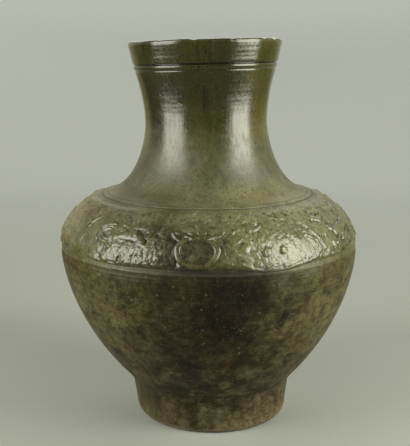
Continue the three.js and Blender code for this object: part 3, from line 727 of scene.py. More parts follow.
def make_foot():
    """Foot ring: outer side, seam, slanting hollow side, bevel and worn standing face."""
    side, pooling_shade_and_sheen = wall_between(0.0, foot_top, 70)
    seam = side[-1]
    hollow_top = (BOWL_SEAM_RADIUS - FOOT_WALL, FOOT_SEAM)
    hollow_low = (STANDING_RADIUS - FOOT_WALL, FOOT_BEVEL)
    stand_in = (STANDING_RADIUS - FOOT_WALL + FOOT_BEVEL, 0.0)
    worn = np.interp(side[:, 1], [0, 5, 12], [1.0, 0.45, 0.05])
    turned_piece("foot_ring", "foot_glaze", [
        (side, worn, pooling_shade_and_sheen),
        (across(seam, hollow_top, 2), 1.0),
        (hollow_top, 1.0),
        (across(hollow_top, hollow_low, 14), 1.0),
        (rounded(hollow_low, (hollow_low[0] + 0.4, 0.0), stand_in, 5), 1.0),
        (across(stand_in, side[0], 5), 1.0),
    ])


def make_bowl():
    """Lower bowl: underside, tapering belly, seam at the girth, inner wall and floor."""
    side, pooling_shade_and_sheen = wall_between(foot_top, girth, 170)
    rim_in = (inner_radius(GIRTH_SEAM), GIRTH_SEAM)
    inner = inner_between(GIRTH_SEAM, FLOOR_HEIGHT + FLOOR_BEND, 26)
    floor_corner = [(inner[-1, 0] - 9, FLOOR_HEIGHT + 3), (60, FLOOR_HEIGHT), (0, FLOOR_HEIGHT - 1)]
    floor = softened(np.concatenate([inner[-3:], floor_corner]), 3.0)
    floor = floor[np.linspace(0, len(floor) - 1, 26).astype(int)][3:]
    underside = (0, FOOT_SEAM + HOLLOW_RISE)
    turned_piece("lower_bowl", "belly_glaze", [
        (underside, 1.0),
        (across(underside, side[0], 16), 1.0),
        (side, 0.0, pooling_shade_and_sheen),
        (across(side[-1], rim_in, 2), 1.0),
        (inner, 1.0),
        (floor, 1.0),
    ], on_axis=True)


def make_ring_section(name, slot, low, high, low_height, high_height, rows, inner_rows):
    """Dome or neck: outer wall, upper seam, inner wall going down and lower seam."""
    side, pooling_shade_and_sheen = wall_between(low, high, rows)
    top_in = (inner_radius(high_height), high_height)
    low_in = (inner_radius(low_height), low_height)
    inner = inner_between(high_height, low_height, inner_rows)
    unglazed = np.interp(inner[:, 1], [300, 340], [1.0, 0.0])
    turned_piece(name, slot, [
        (side, 0.0, pooling_shade_and_sheen),
        (across(side[-1], top_in, 2), 1.0),
        (inner, unglazed),
        (across(low_in, side[0], 2), 1.0),
    ])


# Small chips on the lip: turn, width and depth; they fade out CHIP_REACH below the top
CHIP_REACH = 4.0
LIP_CHIPS = [(-4, 2.2, 0.9), (52, 2.0, 0.8), (66, 2.6, 1.0), (84, 3.0, 1.3), (-86, 3.4, 1.2),
             (-30, 1.6, 0.5), (24, 1.5, 0.5), (131, 4.0, 1.2), (-150, 3.0, 0.9), (172, 2.0, 0.8)]


def lip_unevenness(radius, turn, height):
    """Sink and draw in the lip where a chip or the uneven trimming took clay away."""
    near_top = np.clip((height - (TOTAL_HEIGHT - CHIP_REACH)) / CHIP_REACH, 0, 1)
    loss = 0.3 + 0.2 * np.sin(np.radians(5 * turn)) + 0.15 * np.sin(np.radians(13 * turn + 40))
    for at, width, depth in LIP_CHIPS:
        off = (turn - at + 180) % 360 - 180
        loss = loss + depth * np.exp(-0.5 * (np.radians(off) * LIP_RADIUS / width) ** 2)
    return radius - 0.5 * loss * near_top, height - loss * near_top


def make_mouth():
    """Mouth band: outer face, rounded lip and inner face down to the seam."""
    side, pooling_shade_and_sheen = wall_between(mouth_start, wall_length[-1], 96)
    inner_top = (LIP_RADIUS - MOUTH_WALL, TOTAL_HEIGHT - LIP_ROUNDING[1])
    flat_in = (inner_top[0] + LIP_ROUNDING[0], TOTAL_HEIGHT)
    seam_in = (inner_radius(MOUTH_SEAM), MOUTH_SEAM)
    turned_piece("mouth_rim", "neck_glaze", [
        (side, 0.0, pooling_shade_and_sheen),
        (across(side[-1], flat_in, 6), 0.0),
        (rounded(flat_in, (inner_top[0], TOTAL_HEIGHT), inner_top, 7), 0.0),
        (across(inner_top, seam_in, 14), 0.0),
        (seam_in, 0.0),
        (across(seam_in, side[0], 2), 1.0),
    ], dent=lip_unevenness)


make_foot()
make_bowl()
make_ring_section(
    "shoulder_dome", "shoulder_glaze", girth, neck_start, GIRTH_SEAM, NECK_SEAM, 90, 20)
make_ring_section(
    "neck", "neck_glaze", neck_start, mouth_start, NECK_SEAM, MOUTH_SEAM, 190, 40)
make_mouth()

# Frieze
dome_length = along_at(DOME_START_HEIGHT)


def on_shoulder(turn, climb, lift):
    """Points at a turn, a climb along the dome's curve and a lift off it."""
    at = dome_length + climb
    radius, height = (np.interp(at, wall_length, wall[:, k]) for k in (0, 1))
    out, up = (np.interp(at, wall_length, wall_side[:, k]) for k in (0, 1))
    radius = radius + out * lift
    height = height + up * lift
    return placed(radius + hand(turn, height), turn, height)


def blurred(field, reach, step):
    """A grid averaged both ways with bell weights of that reach; the border keeps its values."""
    half = max(1, int(3 * reach / step))
    bell = np.exp(-0.5 * (np.arange(-half, half + 1) * step / reach) ** 2)
    bell /= bell.sum()
    for axis in (0, 1):
        padded = np.pad(field, [(half, half) if k == axis else (0, 0) for k in (0, 1)], mode="edge")
        field = sum(weight * np.take(padded, np.arange(k, k + field.shape[axis]), axis=axis)
                    for k, weight in enumerate(bell))
    return field


def cloud(u, v, cell, seed):
    """Smooth random values from -1 to 1: a lattice of seeded numbers joined by smooth steps."""
    lattice = np.random.default_rng(seed).uniform(-1, 1, (64, 64))
    a, b = u / cell + 200, v / cell + 200
    i, j = np.floor(a).astype(int), np.floor(b).astype(int)
    s, t = a - i, b - j
    s, t = smooth_step(s), smooth_step(t)

    def corner(di, dj):
        return lattice[(i + di) % 64, (j + dj) % 64]

    return ((corner(0, 0) * (1 - s) + corner(1, 0) * s) * (1 - t)
            + (corner(0, 1) * (1 - s) + corner(1, 1) * s) * t)


def smooth_path(places):
    """Points WELT_STEP apart on the smooth curve through the places, with every column carried."""
    p = np.asarray(places, float)
    p = np.concatenate([[2 * p[0] - p[1]], p, [2 * p[-1] - p[-2]]])
    parts = []
    for a, b, c, d in zip(p[:-3], p[1:-2], p[2:-1], p[3:]):
        count = max(2, int(np.hypot(*(c - b)[:2]) / WELT_STEP))
        t = (np.arange(count) / count)[:, None]
        parts.append(0.5 * (2 * b + (c - a) * t + (2 * a - 5 * b + 4 * c - d) * t ** 2
                            + (3 * b - a - 3 * c + d) * t ** 3))
    parts.append(p[-2:-1])
    return np.concatenate(parts)


def to_mm(turn):
    """Distance round the frieze of a turn, at its middle radius."""
    return np.radians(turn) * FRIEZE_RADIUS


def welt(u, v, places, rise=1.0, plump=2.0):
    """A welt along the smooth line through (turn, climb, width) places.

    Its height is rise x (1 - (distance / half width) ^ plump) ^ 1/2 over the nearest point."""
    line = smooth_path([(to_mm(turn), climb, width) for turn, climb, width in places])
    reach = line[:, 2].max() / 2 + 0.5
    near = ((u > line[:, 0].min() - reach) & (u < line[:, 0].max() + reach)
            & (v > line[:, 1].min() - reach) & (v < line[:, 1].max() + reach))
    height = np.zeros_like(u)
    if not near.any():
        return height
    distance = np.hypot(u[near][:, None] - line[:, 0], v[near][:, None] - line[:, 1])
    share = distance / np.maximum(line[:, 2] / 2, 0.2)
    height[near] = rise * np.sqrt(np.clip(1 - share.min(axis=1) ** plump, 0, 1))
    return height


def knob(u, v, turn, climb, radius, rise=1.0, squash=1.0, tilt=0.0, plump=3.0):
    """A domed boss, flatter on top the plumper it is; squash makes it an oval tilted by degrees."""
    du, dv = u - to_mm(turn), v - climb
    c, s = math.cos(math.radians(tilt)), math.sin(math.radians(tilt))
    a, b = (du * c + dv * s) / radius, (dv * c - du * s) / (radius * squash)
    return rise * np.sqrt(np.clip(1 - (a * a + b * b) ** (plump / 2), 0, 1))


def beast(u, v, turn, climb, heading, size, slope, seed):
    """A running beast: body, neck, head, ears, four legs and a curling tail, with a furry skin."""
    def spot(along, up, width):
        risen = up + slope * along * heading
        return turn + heading * along * size, climb + risen * size, width * size

    parts = [
        [spot(-7.5, 0, 9), spot(-4, 1.5, 12), spot(0, 0, 10), spot(4, 1.5, 12), spot(6.5, 2.5, 9)],
        [spot(5.5, 3, 8), spot(8.2, 6.5, 6.5), spot(10.2, 6.5, 6)],
        [spot(9.6, 6.8, 6.5), spot(11.6, 5.2, 4), spot(12.8, 4.2, 3)],
        [spot(8.6, 8, 2.6), spot(8.0, 11, 2), spot(7.2, 12.5, 1.2)],
        [spot(5.2, 0, 6), spot(7.4, -5, 4), spot(10.0, -7, 2.8), spot(11.2, -6.2, 2.6)],
        [spot(3.2, -1, 6), spot(4.4, -6.5, 4), spot(6.4, -10, 2.8), spot(7.6, -10, 2.4)],
        [spot(-5.6, 0, 7), spot(-6.2, -5.5, 4.4), spot(-9.4, -8.5, 3), spot(-10.6, -10.5, 2.6)],
        [spot(-4.0, -1, 7), spot(-3.0, -6.5, 4.2), spot(-5.0, -10.5, 2.8), spot(-3.6, -11.5, 2.4)],
        [spot(-7.8, 1, 4), spot(-11, 4.5, 3), spot(-12, 10, 2.6), spot(-9.6, 13, 2.4),
         spot(-8, 11, 2)],
    ]
    shape = np.zeros_like(u)
    for part in parts:
        shape = np.maximum(shape, welt(u, v, part, 1.0, 2.6))
    fur = (np.sin(1.9 * v + 2.2 * cloud(u, v, 4.0, seed))
           * np.sin(1.6 * u + 2.5 * cloud(u, v, 5.0, seed + 1)))
    return shape * (1 + 0.22 * fur)


def nested(u, v, places, gap, count, width=2.4, fade=0.85):
    """Welts side by side: each copy of the line is drawn in towards its own middle by gap."""
    line = np.asarray(places, float)
    middle = line.mean(axis=0)
    span = np.hypot(np.ptp(to_mm(line[:, 0])), np.ptp(line[:, 1])) / 2
    shape = np.zeros_like(u)
    for k in range(count):
        drawn = middle + (line - middle) * (1 - k * gap / span)
        shape = np.maximum(shape, welt(u, v, [(t, c, width) for t, c in drawn], fade ** k))
    return shape


def hills_relief(u, v):
    """Mould of hills, for the strips to the right of each mask."""
    shapes = [
        knob(u, v, 24.4, 14.2, 5.4, 0.8, 0.76, 30, 5.0),
        knob(u, v, 30.8, 14.8, 3.9, 0.9, 1.0, 0, 4.0),
        knob(u, v, 11.2, 50.5, 2.3),
        knob(u, v, 22.9, 44.6, 2.6),
        knob(u, v, 16.7, 18.8, 3.6, 0.9),
        knob(u, v, 39.9, 56.0, 2.6),
        welt(u, v, [(39.4, 56, 3.0), (41.0, 49, 2.2), (44.0, 38, 2.2), (46.4, 29, 2.0),
                    (48.6, 19, 2.0), (50.2, 9, 1.4)], 0.75),
        welt(u, v, [(12.2, 26, 1.6), (14.4, 24, 2.4), (16.2, 27, 1.6)], 0.5),
        welt(u, v, [(12.5, 34, 2), (16.5, 39, 4.5), (21, 37, 3.5), (24.5, 40.5, 2)], 0.6),
        nested(u, v, [(42.6, 27), (46, 21), (47.6, 12), (45.2, 5), (40.5, 1.5)], 3.6, 4, 1.5, 0.9),
        welt(u, v, [(38, 1.5, 1.2), (33.4, -0.6, 1.8), (28.6, -3.4, 1.2)], 0.7),
        welt(u, v, [(37.5, 4.4, 1.2), (34.2, 2.4, 1.8), (30.6, 0.4, 1.2)], 0.6),
        welt(u, v, [(36.5, -2.0, 1.2), (32.4, -3.8, 1.6), (28.4, -6.0, 1.2)], 0.5),
        welt(u, v, [(9.5, 6, 2), (13.5, 4.4, 3), (18, 1.2, 3), (22, -1.4, 2)], 0.6),
        nested(u, v, [(52.6, 52), (50.4, 44), (54.6, 37), (58.4, 44), (56.4, 53)], 4.5, 2),
        welt(u, v, [(28, 52, 1.6), (32, 49, 3), (36, 47, 2)], 0.6),
        beast(u, v, 68.5, 24.0, 1, 0.92, 0.25, 5),
        nested(u, v, [(84, 6), (82.6, 20), (87, 28), (89.6, 20), (88.6, 7)], 4.5, 2),
        nested(u, v, [(64, 56), (68, 46), (74, 44), (80, 48), (83, 56)], 4.2, 3),
        knob(u, v, 76.0, 53.5, 2.6),
        knob(u, v, 56.5, 12.0, 3.2, 0.9),
        welt(u, v, [(54, 3, 2), (62, 1.4, 3), (70, 3.4, 3), (79, 2.0, 2)], 0.7),
        -0.7 * welt(u, v, [(31.4, 34, 1.2), (32.4, 30.6, 2), (34.6, 28.6, 2), (37.4, 28.8, 1.2)]),
        -1.5 * welt(u, v, [(21.4, 16.5, 1.2), (21.7, 12, 2), (24, 9.2, 2), (26.4, 10.8, 1.2)]),
        -1.5 * welt(u, v, [(31, 19, 1.2), (29.4, 17.8, 1.6), (28.9, 14.6, 1.8), (30, 10.8, 1.8),
                           (32.2, 11.4, 1.6), (32.8, 14.6, 1.2)]),
        -0.5 * welt(u, v, [(28.4, 56.5, 3.2), (30.2, 53.5, 2.4), (34.5, 47.5, 1.6), (39, 39, 1.4)]),
    ]
    skin = 0.14 + 0.06 * np.exp(-0.5 * ((u - to_mm(62)) / 26) ** 2)
    return shapes, skin


def scrolls_relief(u, v):
    """Mould of scrolls, for the strips to the left of each mask, by turns back from it."""
    fur = np.sin(2.3 * v + 2.5 * cloud(u, v, 3.6, 11)) * np.sin(1.7 * u + 3 * cloud(u, v, 4.4, 12))
    body = welt(
        u, v, [(-34.5, 6, 12), (-30, 10, 18), (-25.5, 13, 22), (-21.5, 11, 18), (-18, 7, 12)])
    back = welt(u, v, [(-31.5, 25, 5), (-27.5, 28, 7), (-23.5, 27, 8), (-19.6, 21, 8),
                       (-16.4, 14.5, 6), (-16, 7, 4)], 0.75)
    between_legs = np.maximum(
        welt(u, v, [(-28.5, 2, 2.4), (-27.6, 8, 3.4), (-29.6, 13, 2)]),
        welt(u, v, [(-22.4, 1, 2.4), (-22.8, 7, 3), (-20.6, 11, 2)]))
    hide = np.maximum(0.7 * body, back)
    hide = hide * (1 + 0.3 * fur) + 0.4 * hide * cloud(u, v, 6.0, 13) - 0.6 * between_legs

    # Flank that falls from the beast towards the ring, and the hollow at its foot
    fall = np.clip((u - to_mm(-17.8)) / to_mm(10.2), 0, 1)
    beside = np.clip((36 - v) / 8, 0, 1) * np.clip((v + 2) / 5, 0, 1)
    flank = 0.85 * np.clip(1 - 2 * fall, 0, 1) * beside * np.clip((u - to_mm(-18.6)) / 2.0, 0, 1)
    hollow_end = np.clip((to_mm(-5.2) - u) / to_mm(1.6), 0, 1)
    hollow = 0.8 * np.clip(2 * fall - 1, 0, 1) * beside * hollow_end
    shapes = [
        hide,
        flank,
        knob(u, v, -12.4, 34.0, 7.5, 0.45, 0.8, 10, 2.0),
        1.2 * nested(u, v, [(-35.0, 38), (-39.4, 34.5), (-41.0, 27), (-38.6, 20), (-34.0, 15.5)],
                     4.2, 3, 2.0, 0.9),
        welt(u, v, [(-43.0, 46, 1.4), (-48.0, 37, 2.0), (-48.6, 25, 2.0), (-44.6, 14, 2.0),
                    (-39, 8.8, 1.8), (-34.5, 7.6, 1.2)], 0.7),
        welt(u, v, [(-28.6, 50.5, 1.6), (-26.0, 48, 2.4), (-25.4, 43.6, 1.6)], 0.6),
        welt(u, v, [(-34, 42, 1.4), (-30, 39, 2.0), (-26, 34.4, 2.0), (-23.4, 30, 1.4)], 0.3),
        welt(u, v, [(-38, 53, 1.4), (-33, 50, 2.0), (-29, 45, 1.4)], 0.4),
        knob(u, v, -39.6, 2.8, 2.6, 0.6, plump=6.0),
        knob(u, v, -13.4, 9.4, 3.0, 0.8),
        knob(u, v, -17.2, 1.6, 2.6, 0.7),
        knob(u, v, -14.4, 2.0, 2.2, 0.7),
        welt(u, v, [(-15.8, 6, 2), (-12.8, 3.8, 3), (-9.4, 4.4, 2)], 0.7),
        welt(u, v, [(-44, 4, 1.6), (-36, 0.6, 2.4), (-27, -1.6, 2.4), (-18, -1.8, 1.6)], 0.8),
        0.45 * beast(u, v, -62.5, 25.0, -1, 0.95, 0.2, 7),
        0.3 * nested(u, v, [(-51, 8), (-50.2, 22), (-52.4, 32), (-55.4, 22), (-54.2, 8)], 4.5, 2),
        nested(u, v, [(-54, 56), (-58, 47), (-65, 44), (-71, 48), (-74, 57)], 4.2, 3),
        nested(u, v, [(-77, 10), (-80, 30), (-84.5, 37), (-88, 28), (-86, 12)], 5.0, 3),
        knob(u, v, -80.5, 50.0, 3.0),
        knob(u, v, -83.0, 8.0, 3.4, 0.9),
        welt(u, v, [(-54, 3, 2), (-62, 1.2, 3), (-71, 3.0, 3), (-79, 1.4, 2)], 0.7),
        -0.6 * welt(u, v, [(-18.2, 32.5, 1.4), (-16.6, 37.0, 2.2), (-13.2, 43.4, 2.4),
                           (-9.0, 42.4, 2.4), (-6.4, 36, 1.6)]),
        -0.5 * welt(u, v, [(-31.0, 28, 1.6), (-29.4, 33, 4.0), (-26.8, 36, 3.0), (-23.0, 32, 1.6)]),
        -0.6 * welt(u, v, [(-41.5, 45, 1.6), (-45.6, 37, 2.4), (-46.2, 26, 2.4), (-42.8, 15.5, 2.2),
                           (-37.5, 10.6, 1.4)]),
        -0.5 * welt(u, v, [(-36.5, 54, 1.6), (-31.0, 52.0, 3.4), (-26.5, 49.0, 2.2)]),
        -0.4 * welt(u, v, [(-47.0, 55, 1.6), (-42.5, 53.0, 3.0), (-38.5, 49.0, 1.8)]),
        -hollow,
    ]
    skin = 0.10 + 0.20 * np.exp(-(((u - to_mm(-25)) / 28) ** 2 + ((v - 11) / 20) ** 2) ** 2)
    return shapes, skin


# The mock ring's place and size, and the painted shade over an oval round it, deeper on its disc
RING_CENTRE_CLIMB = 16.5
RING_HALF_WIDTH = 18.5
RING_HALF_HEIGHT = 13.0
HALO_HALF_WIDTH = 33.0
HALO_HALF_HEIGHT = 21.0
HALO_SHADE = 0.20

# Strips: each covers a quarter of the shoulder, and its mould is plain at the end by the mask
STRIP_TURN = 90.0
STRIP_COLUMNS = 400
STRIP_ROWS = 112
STRIP_FOOT_WIDTH = 4.0
STRIP_TOP_WIDTH = 9.0
STRIP_JOINT_DEPTH = 0.3
STRIP_JOINT_TURN = 0.28
STRIP_FOOT_SINK = 0.35
STRIP_TOP_SINK = 0.1
STRIP_THICKNESS = 0.8
STRIP_SEAT = -0.9
LEFT_STRIP_DROP = 1.4


def plate(name, front, back, pooling_shade_and_sheen):
    """Closed plate from two grids of points, its front and its back, joined round their border."""
    rows, columns = pooling_shade_and_sheen.shape
    points = np.concatenate([front.reshape(-1, 3), back.reshape(-1, 3)])
    number = np.arange(pooling_shade_and_sheen.size).reshape(rows, columns)
    face = grid_faces(rows, columns, False, False)
    rim = np.concatenate([number[0, :-1], number[:-1, -1], number[-1, :0:-1], number[:0:-1, 0]])
    onward = np.roll(rim, -1)
    border = np.stack([onward, rim, rim + number.size, onward + number.size], axis=1)
    faces = np.concatenate([face, (face + number.size)[:, ::-1], border]).tolist()
    pooling_shade_and_sheen = np.tile(np.clip(pooling_shade_and_sheen, -1, 1).ravel(), 2)
    make_piece(name, points, faces, pooling_shade_and_sheen, np.zeros(len(points)), "frieze_glaze")


def lower_edge(turn):
    """Climb of the strip's wavy lower edge."""
    sag = 5.2 * np.exp(-0.5 * ((turn - 26) / 7.5) ** 2)
    wave = 0.7 * np.sin(np.radians(turn * 6.5 + 20)) + 0.4 * np.sin(np.radians(turn * 17))
    return FRIEZE_LOW - 0.6 - sag + wave


def strip_field(turn, climb, relief, to_end, step):
    """Height of the pressed clay over the strip's ground, in millimetres.

    The mould's parts are laid together, raised ones by the higher and sunk ones by their sum, on
    ground with a cloudy carving; all of it dies down towards the strip's ends, and a fine skin of
    glaze lies over it. The mould's places are first bent by slow clouds, as pressed clay is."""
    round_way = to_mm(turn)
    u = round_way + 1.3 * cloud(round_way, climb, 9.0, 21) + 0.5 * cloud(round_way, climb, 3.0, 22)
    v = climb + 1.1 * cloud(round_way, climb, 8.0, 23) + 0.5 * cloud(round_way, climb, 3.2, 24)
    shape = np.zeros_like(climb)
    shapes, skin = relief(u, v)
    for part in shapes:
        shape = np.where(part < 0, shape + part, np.maximum(shape, part))
    carving = sum(
        height * cloud(u, v, cell, seed)
        for height, cell, seed in ((0.20, 7.0, 31), (0.18, 3.4, 32), (0.10, 1.7, 34)))
    carving = carving * (1 + 1.2 * np.clip((climb - 30) / 18, 0, 1))
    contours = np.sin(5.0 * cloud(u, v, 15.0, 33) + 0.22 * v)
    open_ground = 1 - np.clip(shape * 1.2, 0, 0.8)
    field = RELIEF_HEIGHT * shape + open_ground * (carving + 0.14 * contours ** 3)
    field = field * (0.35 + 0.65 * np.clip(to_end / 5.0, 0, 1))
    return blurred(field, 0.5, step) + skin * (cloud(u, v, 1.7, 41) + 0.8 * cloud(u, v, 3.2, 42))


def make_strip(name, start, relief, mould_start):
    """Pressed strip from a start turn on: ground, relief, feathered edges, pooled glaze and painted
    shade in hollows, along its foot and round the ring.
    """
    mould_end = mould_start + STRIP_TURN
    turn = np.linspace(0.0, STRIP_TURN, STRIP_COLUMNS)[None, :] + mould_start
    to_end = np.minimum(turn - mould_start, mould_end - turn)
    is_right = mould_start == 0
    low = lower_edge(turn) if is_right else lower_edge(-turn * 0.7 + 60) - LEFT_STRIP_DROP
    low = low * np.minimum(1.0, to_end / 6.0)
    high = FRIEZE_LOW + FRIEZE_WIDTH
    climb = low + (high - low) * np.linspace(0.0, 1.0, STRIP_ROWS)[:, None]
    turn = np.broadcast_to(turn, climb.shape)
    step = high / STRIP_ROWS
    field = strip_field(turn, climb, relief, to_end, step)

    foot = np.clip((climb - low) / STRIP_FOOT_WIDTH, 0, 1)
    foot = np.sqrt(np.clip(1 - (1 - foot) ** 2, 0, 1))
    top = smooth_step(np.clip((high - climb) / STRIP_TOP_WIDTH, 0, 1))
    plain_end = mould_end if is_right else mould_start
    joint = np.exp(-0.5 * ((turn - plain_end) / STRIP_JOINT_TURN) ** 2)
    lift = (STRIP_GROUND + field - STRIP_JOINT_DEPTH * joint) * foot * top
    lift = lift - STRIP_FOOT_SINK * (1 - foot) - STRIP_TOP_SINK * (1 - top)

    # Pooled glaze and painted shade in hollows, a painted shadow along the strip's foot, wear and a
    # painted highlight on crests, a dark joint at the plain end
    pooling_shade_and_sheen = np.clip((blurred(field, 2.2, step) - field) / 0.5, -1, 1)
    pooling_shade_and_sheen = np.maximum(pooling_shade_and_sheen, 0.4 * (1 - foot)) + 0.25 * joint
    # Painted shade over an oval round the ring, deeper on the disc inside it
    up = climb - RING_CENTRE_CLIMB
    halo = np.hypot(to_mm(turn) / HALO_HALF_WIDTH, up / HALO_HALF_HEIGHT)
    disc = np.hypot(to_mm(turn) / RING_HALF_WIDTH, up / RING_HALF_HEIGHT)
    pooling_shade_and_sheen = pooling_shade_and_sheen + HALO_SHADE * (np.clip((1.15 - halo) / 0.3, 0, 1) + (disc < 1))
    on_jar = turn + start - mould_start
    front = on_shoulder(on_jar, climb, lift)
    back = on_shoulder(on_jar, climb, np.minimum(lift - STRIP_THICKNESS, STRIP_SEAT))
    plate(name, front, back, pooling_shade_and_sheen)


make_strip("frieze_front_right", 0.0, hills_relief, 0.0)
make_strip("frieze_back_right", 90.0, scrolls_relief, -90.0)
make_strip("frieze_back_left", 180.0, hills_relief, 0.0)
make_strip("frieze_front_left", 270.0, scrolls_relief, -90.0)

# Mock rings and beast masks
RING_BAND = 6.0
RING_RISE = 1.9
RING_SUNK = 1.2
RING_RADIUS = 153.5
RING_STEPS = 256
RING_SECTION_STEPS = 28


def make_mock_ring(name, centre):
    """Oval band with a half-round section: its feet are sunk in the strip, its crown stands up."""
    angle = np.arange(RING_STEPS)[:, None] * 2 * np.pi / RING_STEPS
    section = np.arange(RING_SECTION_STEPS)[None, :] * 2 * np.pi / RING_SECTION_STEPS
    waver = 1 + 0.02 * np.sin(3 * angle + 1) + 0.015 * np.sin(5 * angle)
    half = RING_BAND / 2 * (1 + 0.08 * np.sin(2 * angle + 0.5) + 0.05 * np.sin(7 * angle))
    side = half * np.cos(section)
    across_ring = (RING_HALF_WIDTH * waver + side) * np.cos(angle)
    up_ring = (RING_HALF_HEIGHT * waver + side) * np.sin(angle)
    rise = np.sin(section)
    lift = STRIP_GROUND + np.where(rise > 0, RING_RISE * np.abs(rise) ** 0.8, RING_SUNK * rise)
    turn = centre + np.degrees(across_ring / RING_RADIUS)
    points = on_shoulder(turn, RING_CENTRE_CLIMB + up_ring, lift).reshape(-1, 3)
    faces = grid_faces(RING_STEPS, RING_SECTION_STEPS, True, True)[:, ::-1].tolist()
    # Pooled glaze and painted shade on the band's flanks, wear and a painted highlight on its crown
    crown = np.clip(rise, 0, 1) * np.ones_like(angle)
    pooling_shade_and_sheen = (0.5 - 1.3 * crown ** 6).ravel()
    make_piece(name, points, faces, pooling_shade_and_sheen, np.zeros(len(points)), "frieze_glaze", sharp=70)


MASK_CHIN = 2.5
MASK_BOTTOM = RING_CENTRE_CLIMB + RING_HALF_HEIGHT - 3.0 - MASK_CHIN
MASK_HEIGHT = 36.0 + MASK_CHIN
MASK_RADIUS = 138.0
MASK_RELIEF = 1.35
MASK_GROOVE = 0.75
MASK_EDGE_WIDTH = 3.2
MASK_SHIFT = 3.0
MASK_PLATE = 0.7
MASK_THICKNESS = 0.6
MASK_SEAT = STRIP_GROUND - 1.0
MASK_COLUMNS = 150
MASK_ROWS = 110

# Half width of the mask at shares of its height
MASK_OUTLINE = [
    (0, 12.0), (0.12, 21.0), (0.3, 26.0), (0.45, 25.5), (0.6, 20.0), (0.74, 13.0), (0.88, 10.5),
    (1.0, 5.0),
]


def mask_relief(a, b):
    """Face of the beast by distance from the middle line and climb from the muzzle, in mm."""
    side = np.abs(a - MASK_SHIFT)
    turn_of = np.degrees(1 / FRIEZE_RADIUS)

    def line(places, rise=1.0, plump=2.2):
        return welt(side, b, [(x * turn_of, y, w) for x, y, w in places], rise, plump)

    def bump(x, y, radius, rise=1.0, squash=1.0, tilt=0.0, plump=3.0):
        return knob(side, b, x * turn_of, y, radius, rise, squash, tilt, plump)

    shapes = [
        line([(0, 4, 5), (0, 9, 8), (0, 15, 9), (0, 20, 6)], 0.6, 2.0),
        bump(10.2, 12.0, 5.4, 0.55, 0.62, 6, 4.0),
        line([(4.0, 16.4, 2.4), (8.6, 18.0, 3.4), (13.4, 16.6, 3.2), (18.0, 12.0, 2.4)], 0.5),
        line([(4.4, 24.0, 3.0), (9.4, 25.4, 5.0), (14.6, 24.2, 4.0), (18.6, 21.0, 2.4)], 0.55),
        line([(3.0, 1.6, 2.6), (8.0, 1.8, 3.0), (14.0, 3.6, 2.6)], 0.5),
        bump(0.0, 27.4, 6.2, 0.85, 0.85, 0, 4.0),
        bump(20.5, 8.5, 3.0, 0.5),
    ]
    shape = np.zeros_like(a)
    for part in shapes:
        shape = np.maximum(shape, part)
    grooves = [
        line([(2.4, 20.6, 2.0), (8.0, 21.6, 2.8), (13.6, 20.2, 2.6), (17.6, 16.4, 1.6)]),
        line([(3.6, 7.4, 1.8), (9.4, 5.4, 2.4), (15.6, 7.8, 1.8)]),
        line([(0, 34.6, 2.6), (4.6, 33.4, 2.4), (7.6, 29.0, 1.6)]),
        line([(10.5, 29.5, 1.6), (14.5, 29.0, 2.4), (18.0, 26.0, 1.6)]),
    ]
    for part in grooves:
        shape = shape - MASK_GROOVE * part
    return shape * (1 + 0.3 * cloud(a + 90, b, 3.4, 51)) + 0.16 * cloud(a, b, 3.0, 52)


def make_mask(name, centre):
    """Beast mask: a pressed plate with an outline by height, its edge let into the strip."""
    up = np.linspace(0.0, 1.0, MASK_ROWS)[:, None]
    half = np.interp(up, *zip(*MASK_OUTLINE))
    across_share = np.linspace(-1.0, 1.0, MASK_COLUMNS)[None, :]
    a = half * across_share
    b = MASK_HEIGHT * up + np.zeros_like(a)
    bent = 2.0 * cloud(a, b, 7.5, 61)
    shape = mask_relief(a + bent, b - MASK_CHIN + 2.0 * cloud(a, b, 7.0, 62))
    to_edge = np.minimum(half * (1 - np.abs(across_share)), MASK_HEIGHT * np.minimum(up, 1 - up))
    edge = smooth_step(np.clip(to_edge / MASK_EDGE_WIDTH, 0, 1))
    step = MASK_HEIGHT / MASK_ROWS
    field = blurred((MASK_PLATE + MASK_RELIEF * shape) * edge, 0.6, step)
    # Pooled glaze and painted shade in the mask's hollows, wear and a painted highlight on its
    # crests
    pooling_shade_and_sheen = np.clip((blurred(field, 2.0, step) - field) / 0.8, -1, 1)
    over_ring = np.clip(1.6 - b / 8.5, 0, 1) * np.clip(1.8 - np.abs(a - 2) / 8.5, 0, 1)
    lift = STRIP_GROUND - 0.5 + field + RING_RISE * over_ring * edge
    turn = centre + np.degrees(a / MASK_RADIUS)
    climb = MASK_BOTTOM + b
    front = on_shoulder(turn, climb, lift)
    back = on_shoulder(turn, climb, np.minimum(lift - MASK_THICKNESS, MASK_SEAT))
    plate(name, front, back, pooling_shade_and_sheen)


for side, centre in (("front", 0.0), ("back", 180.0)):
    make_mock_ring(f"mask_ring_{side}", centre)
    make_mask(f"mask_{side}", centre)


# Studio: a pale sweep, the camera, two tall soft boxes and a weak lamp behind the jar

STAGE_FLAT = 1.4
STAGE_BEND = 1.0
STAGE_TOP = 3.4
STAGE_COLUMNS = 128


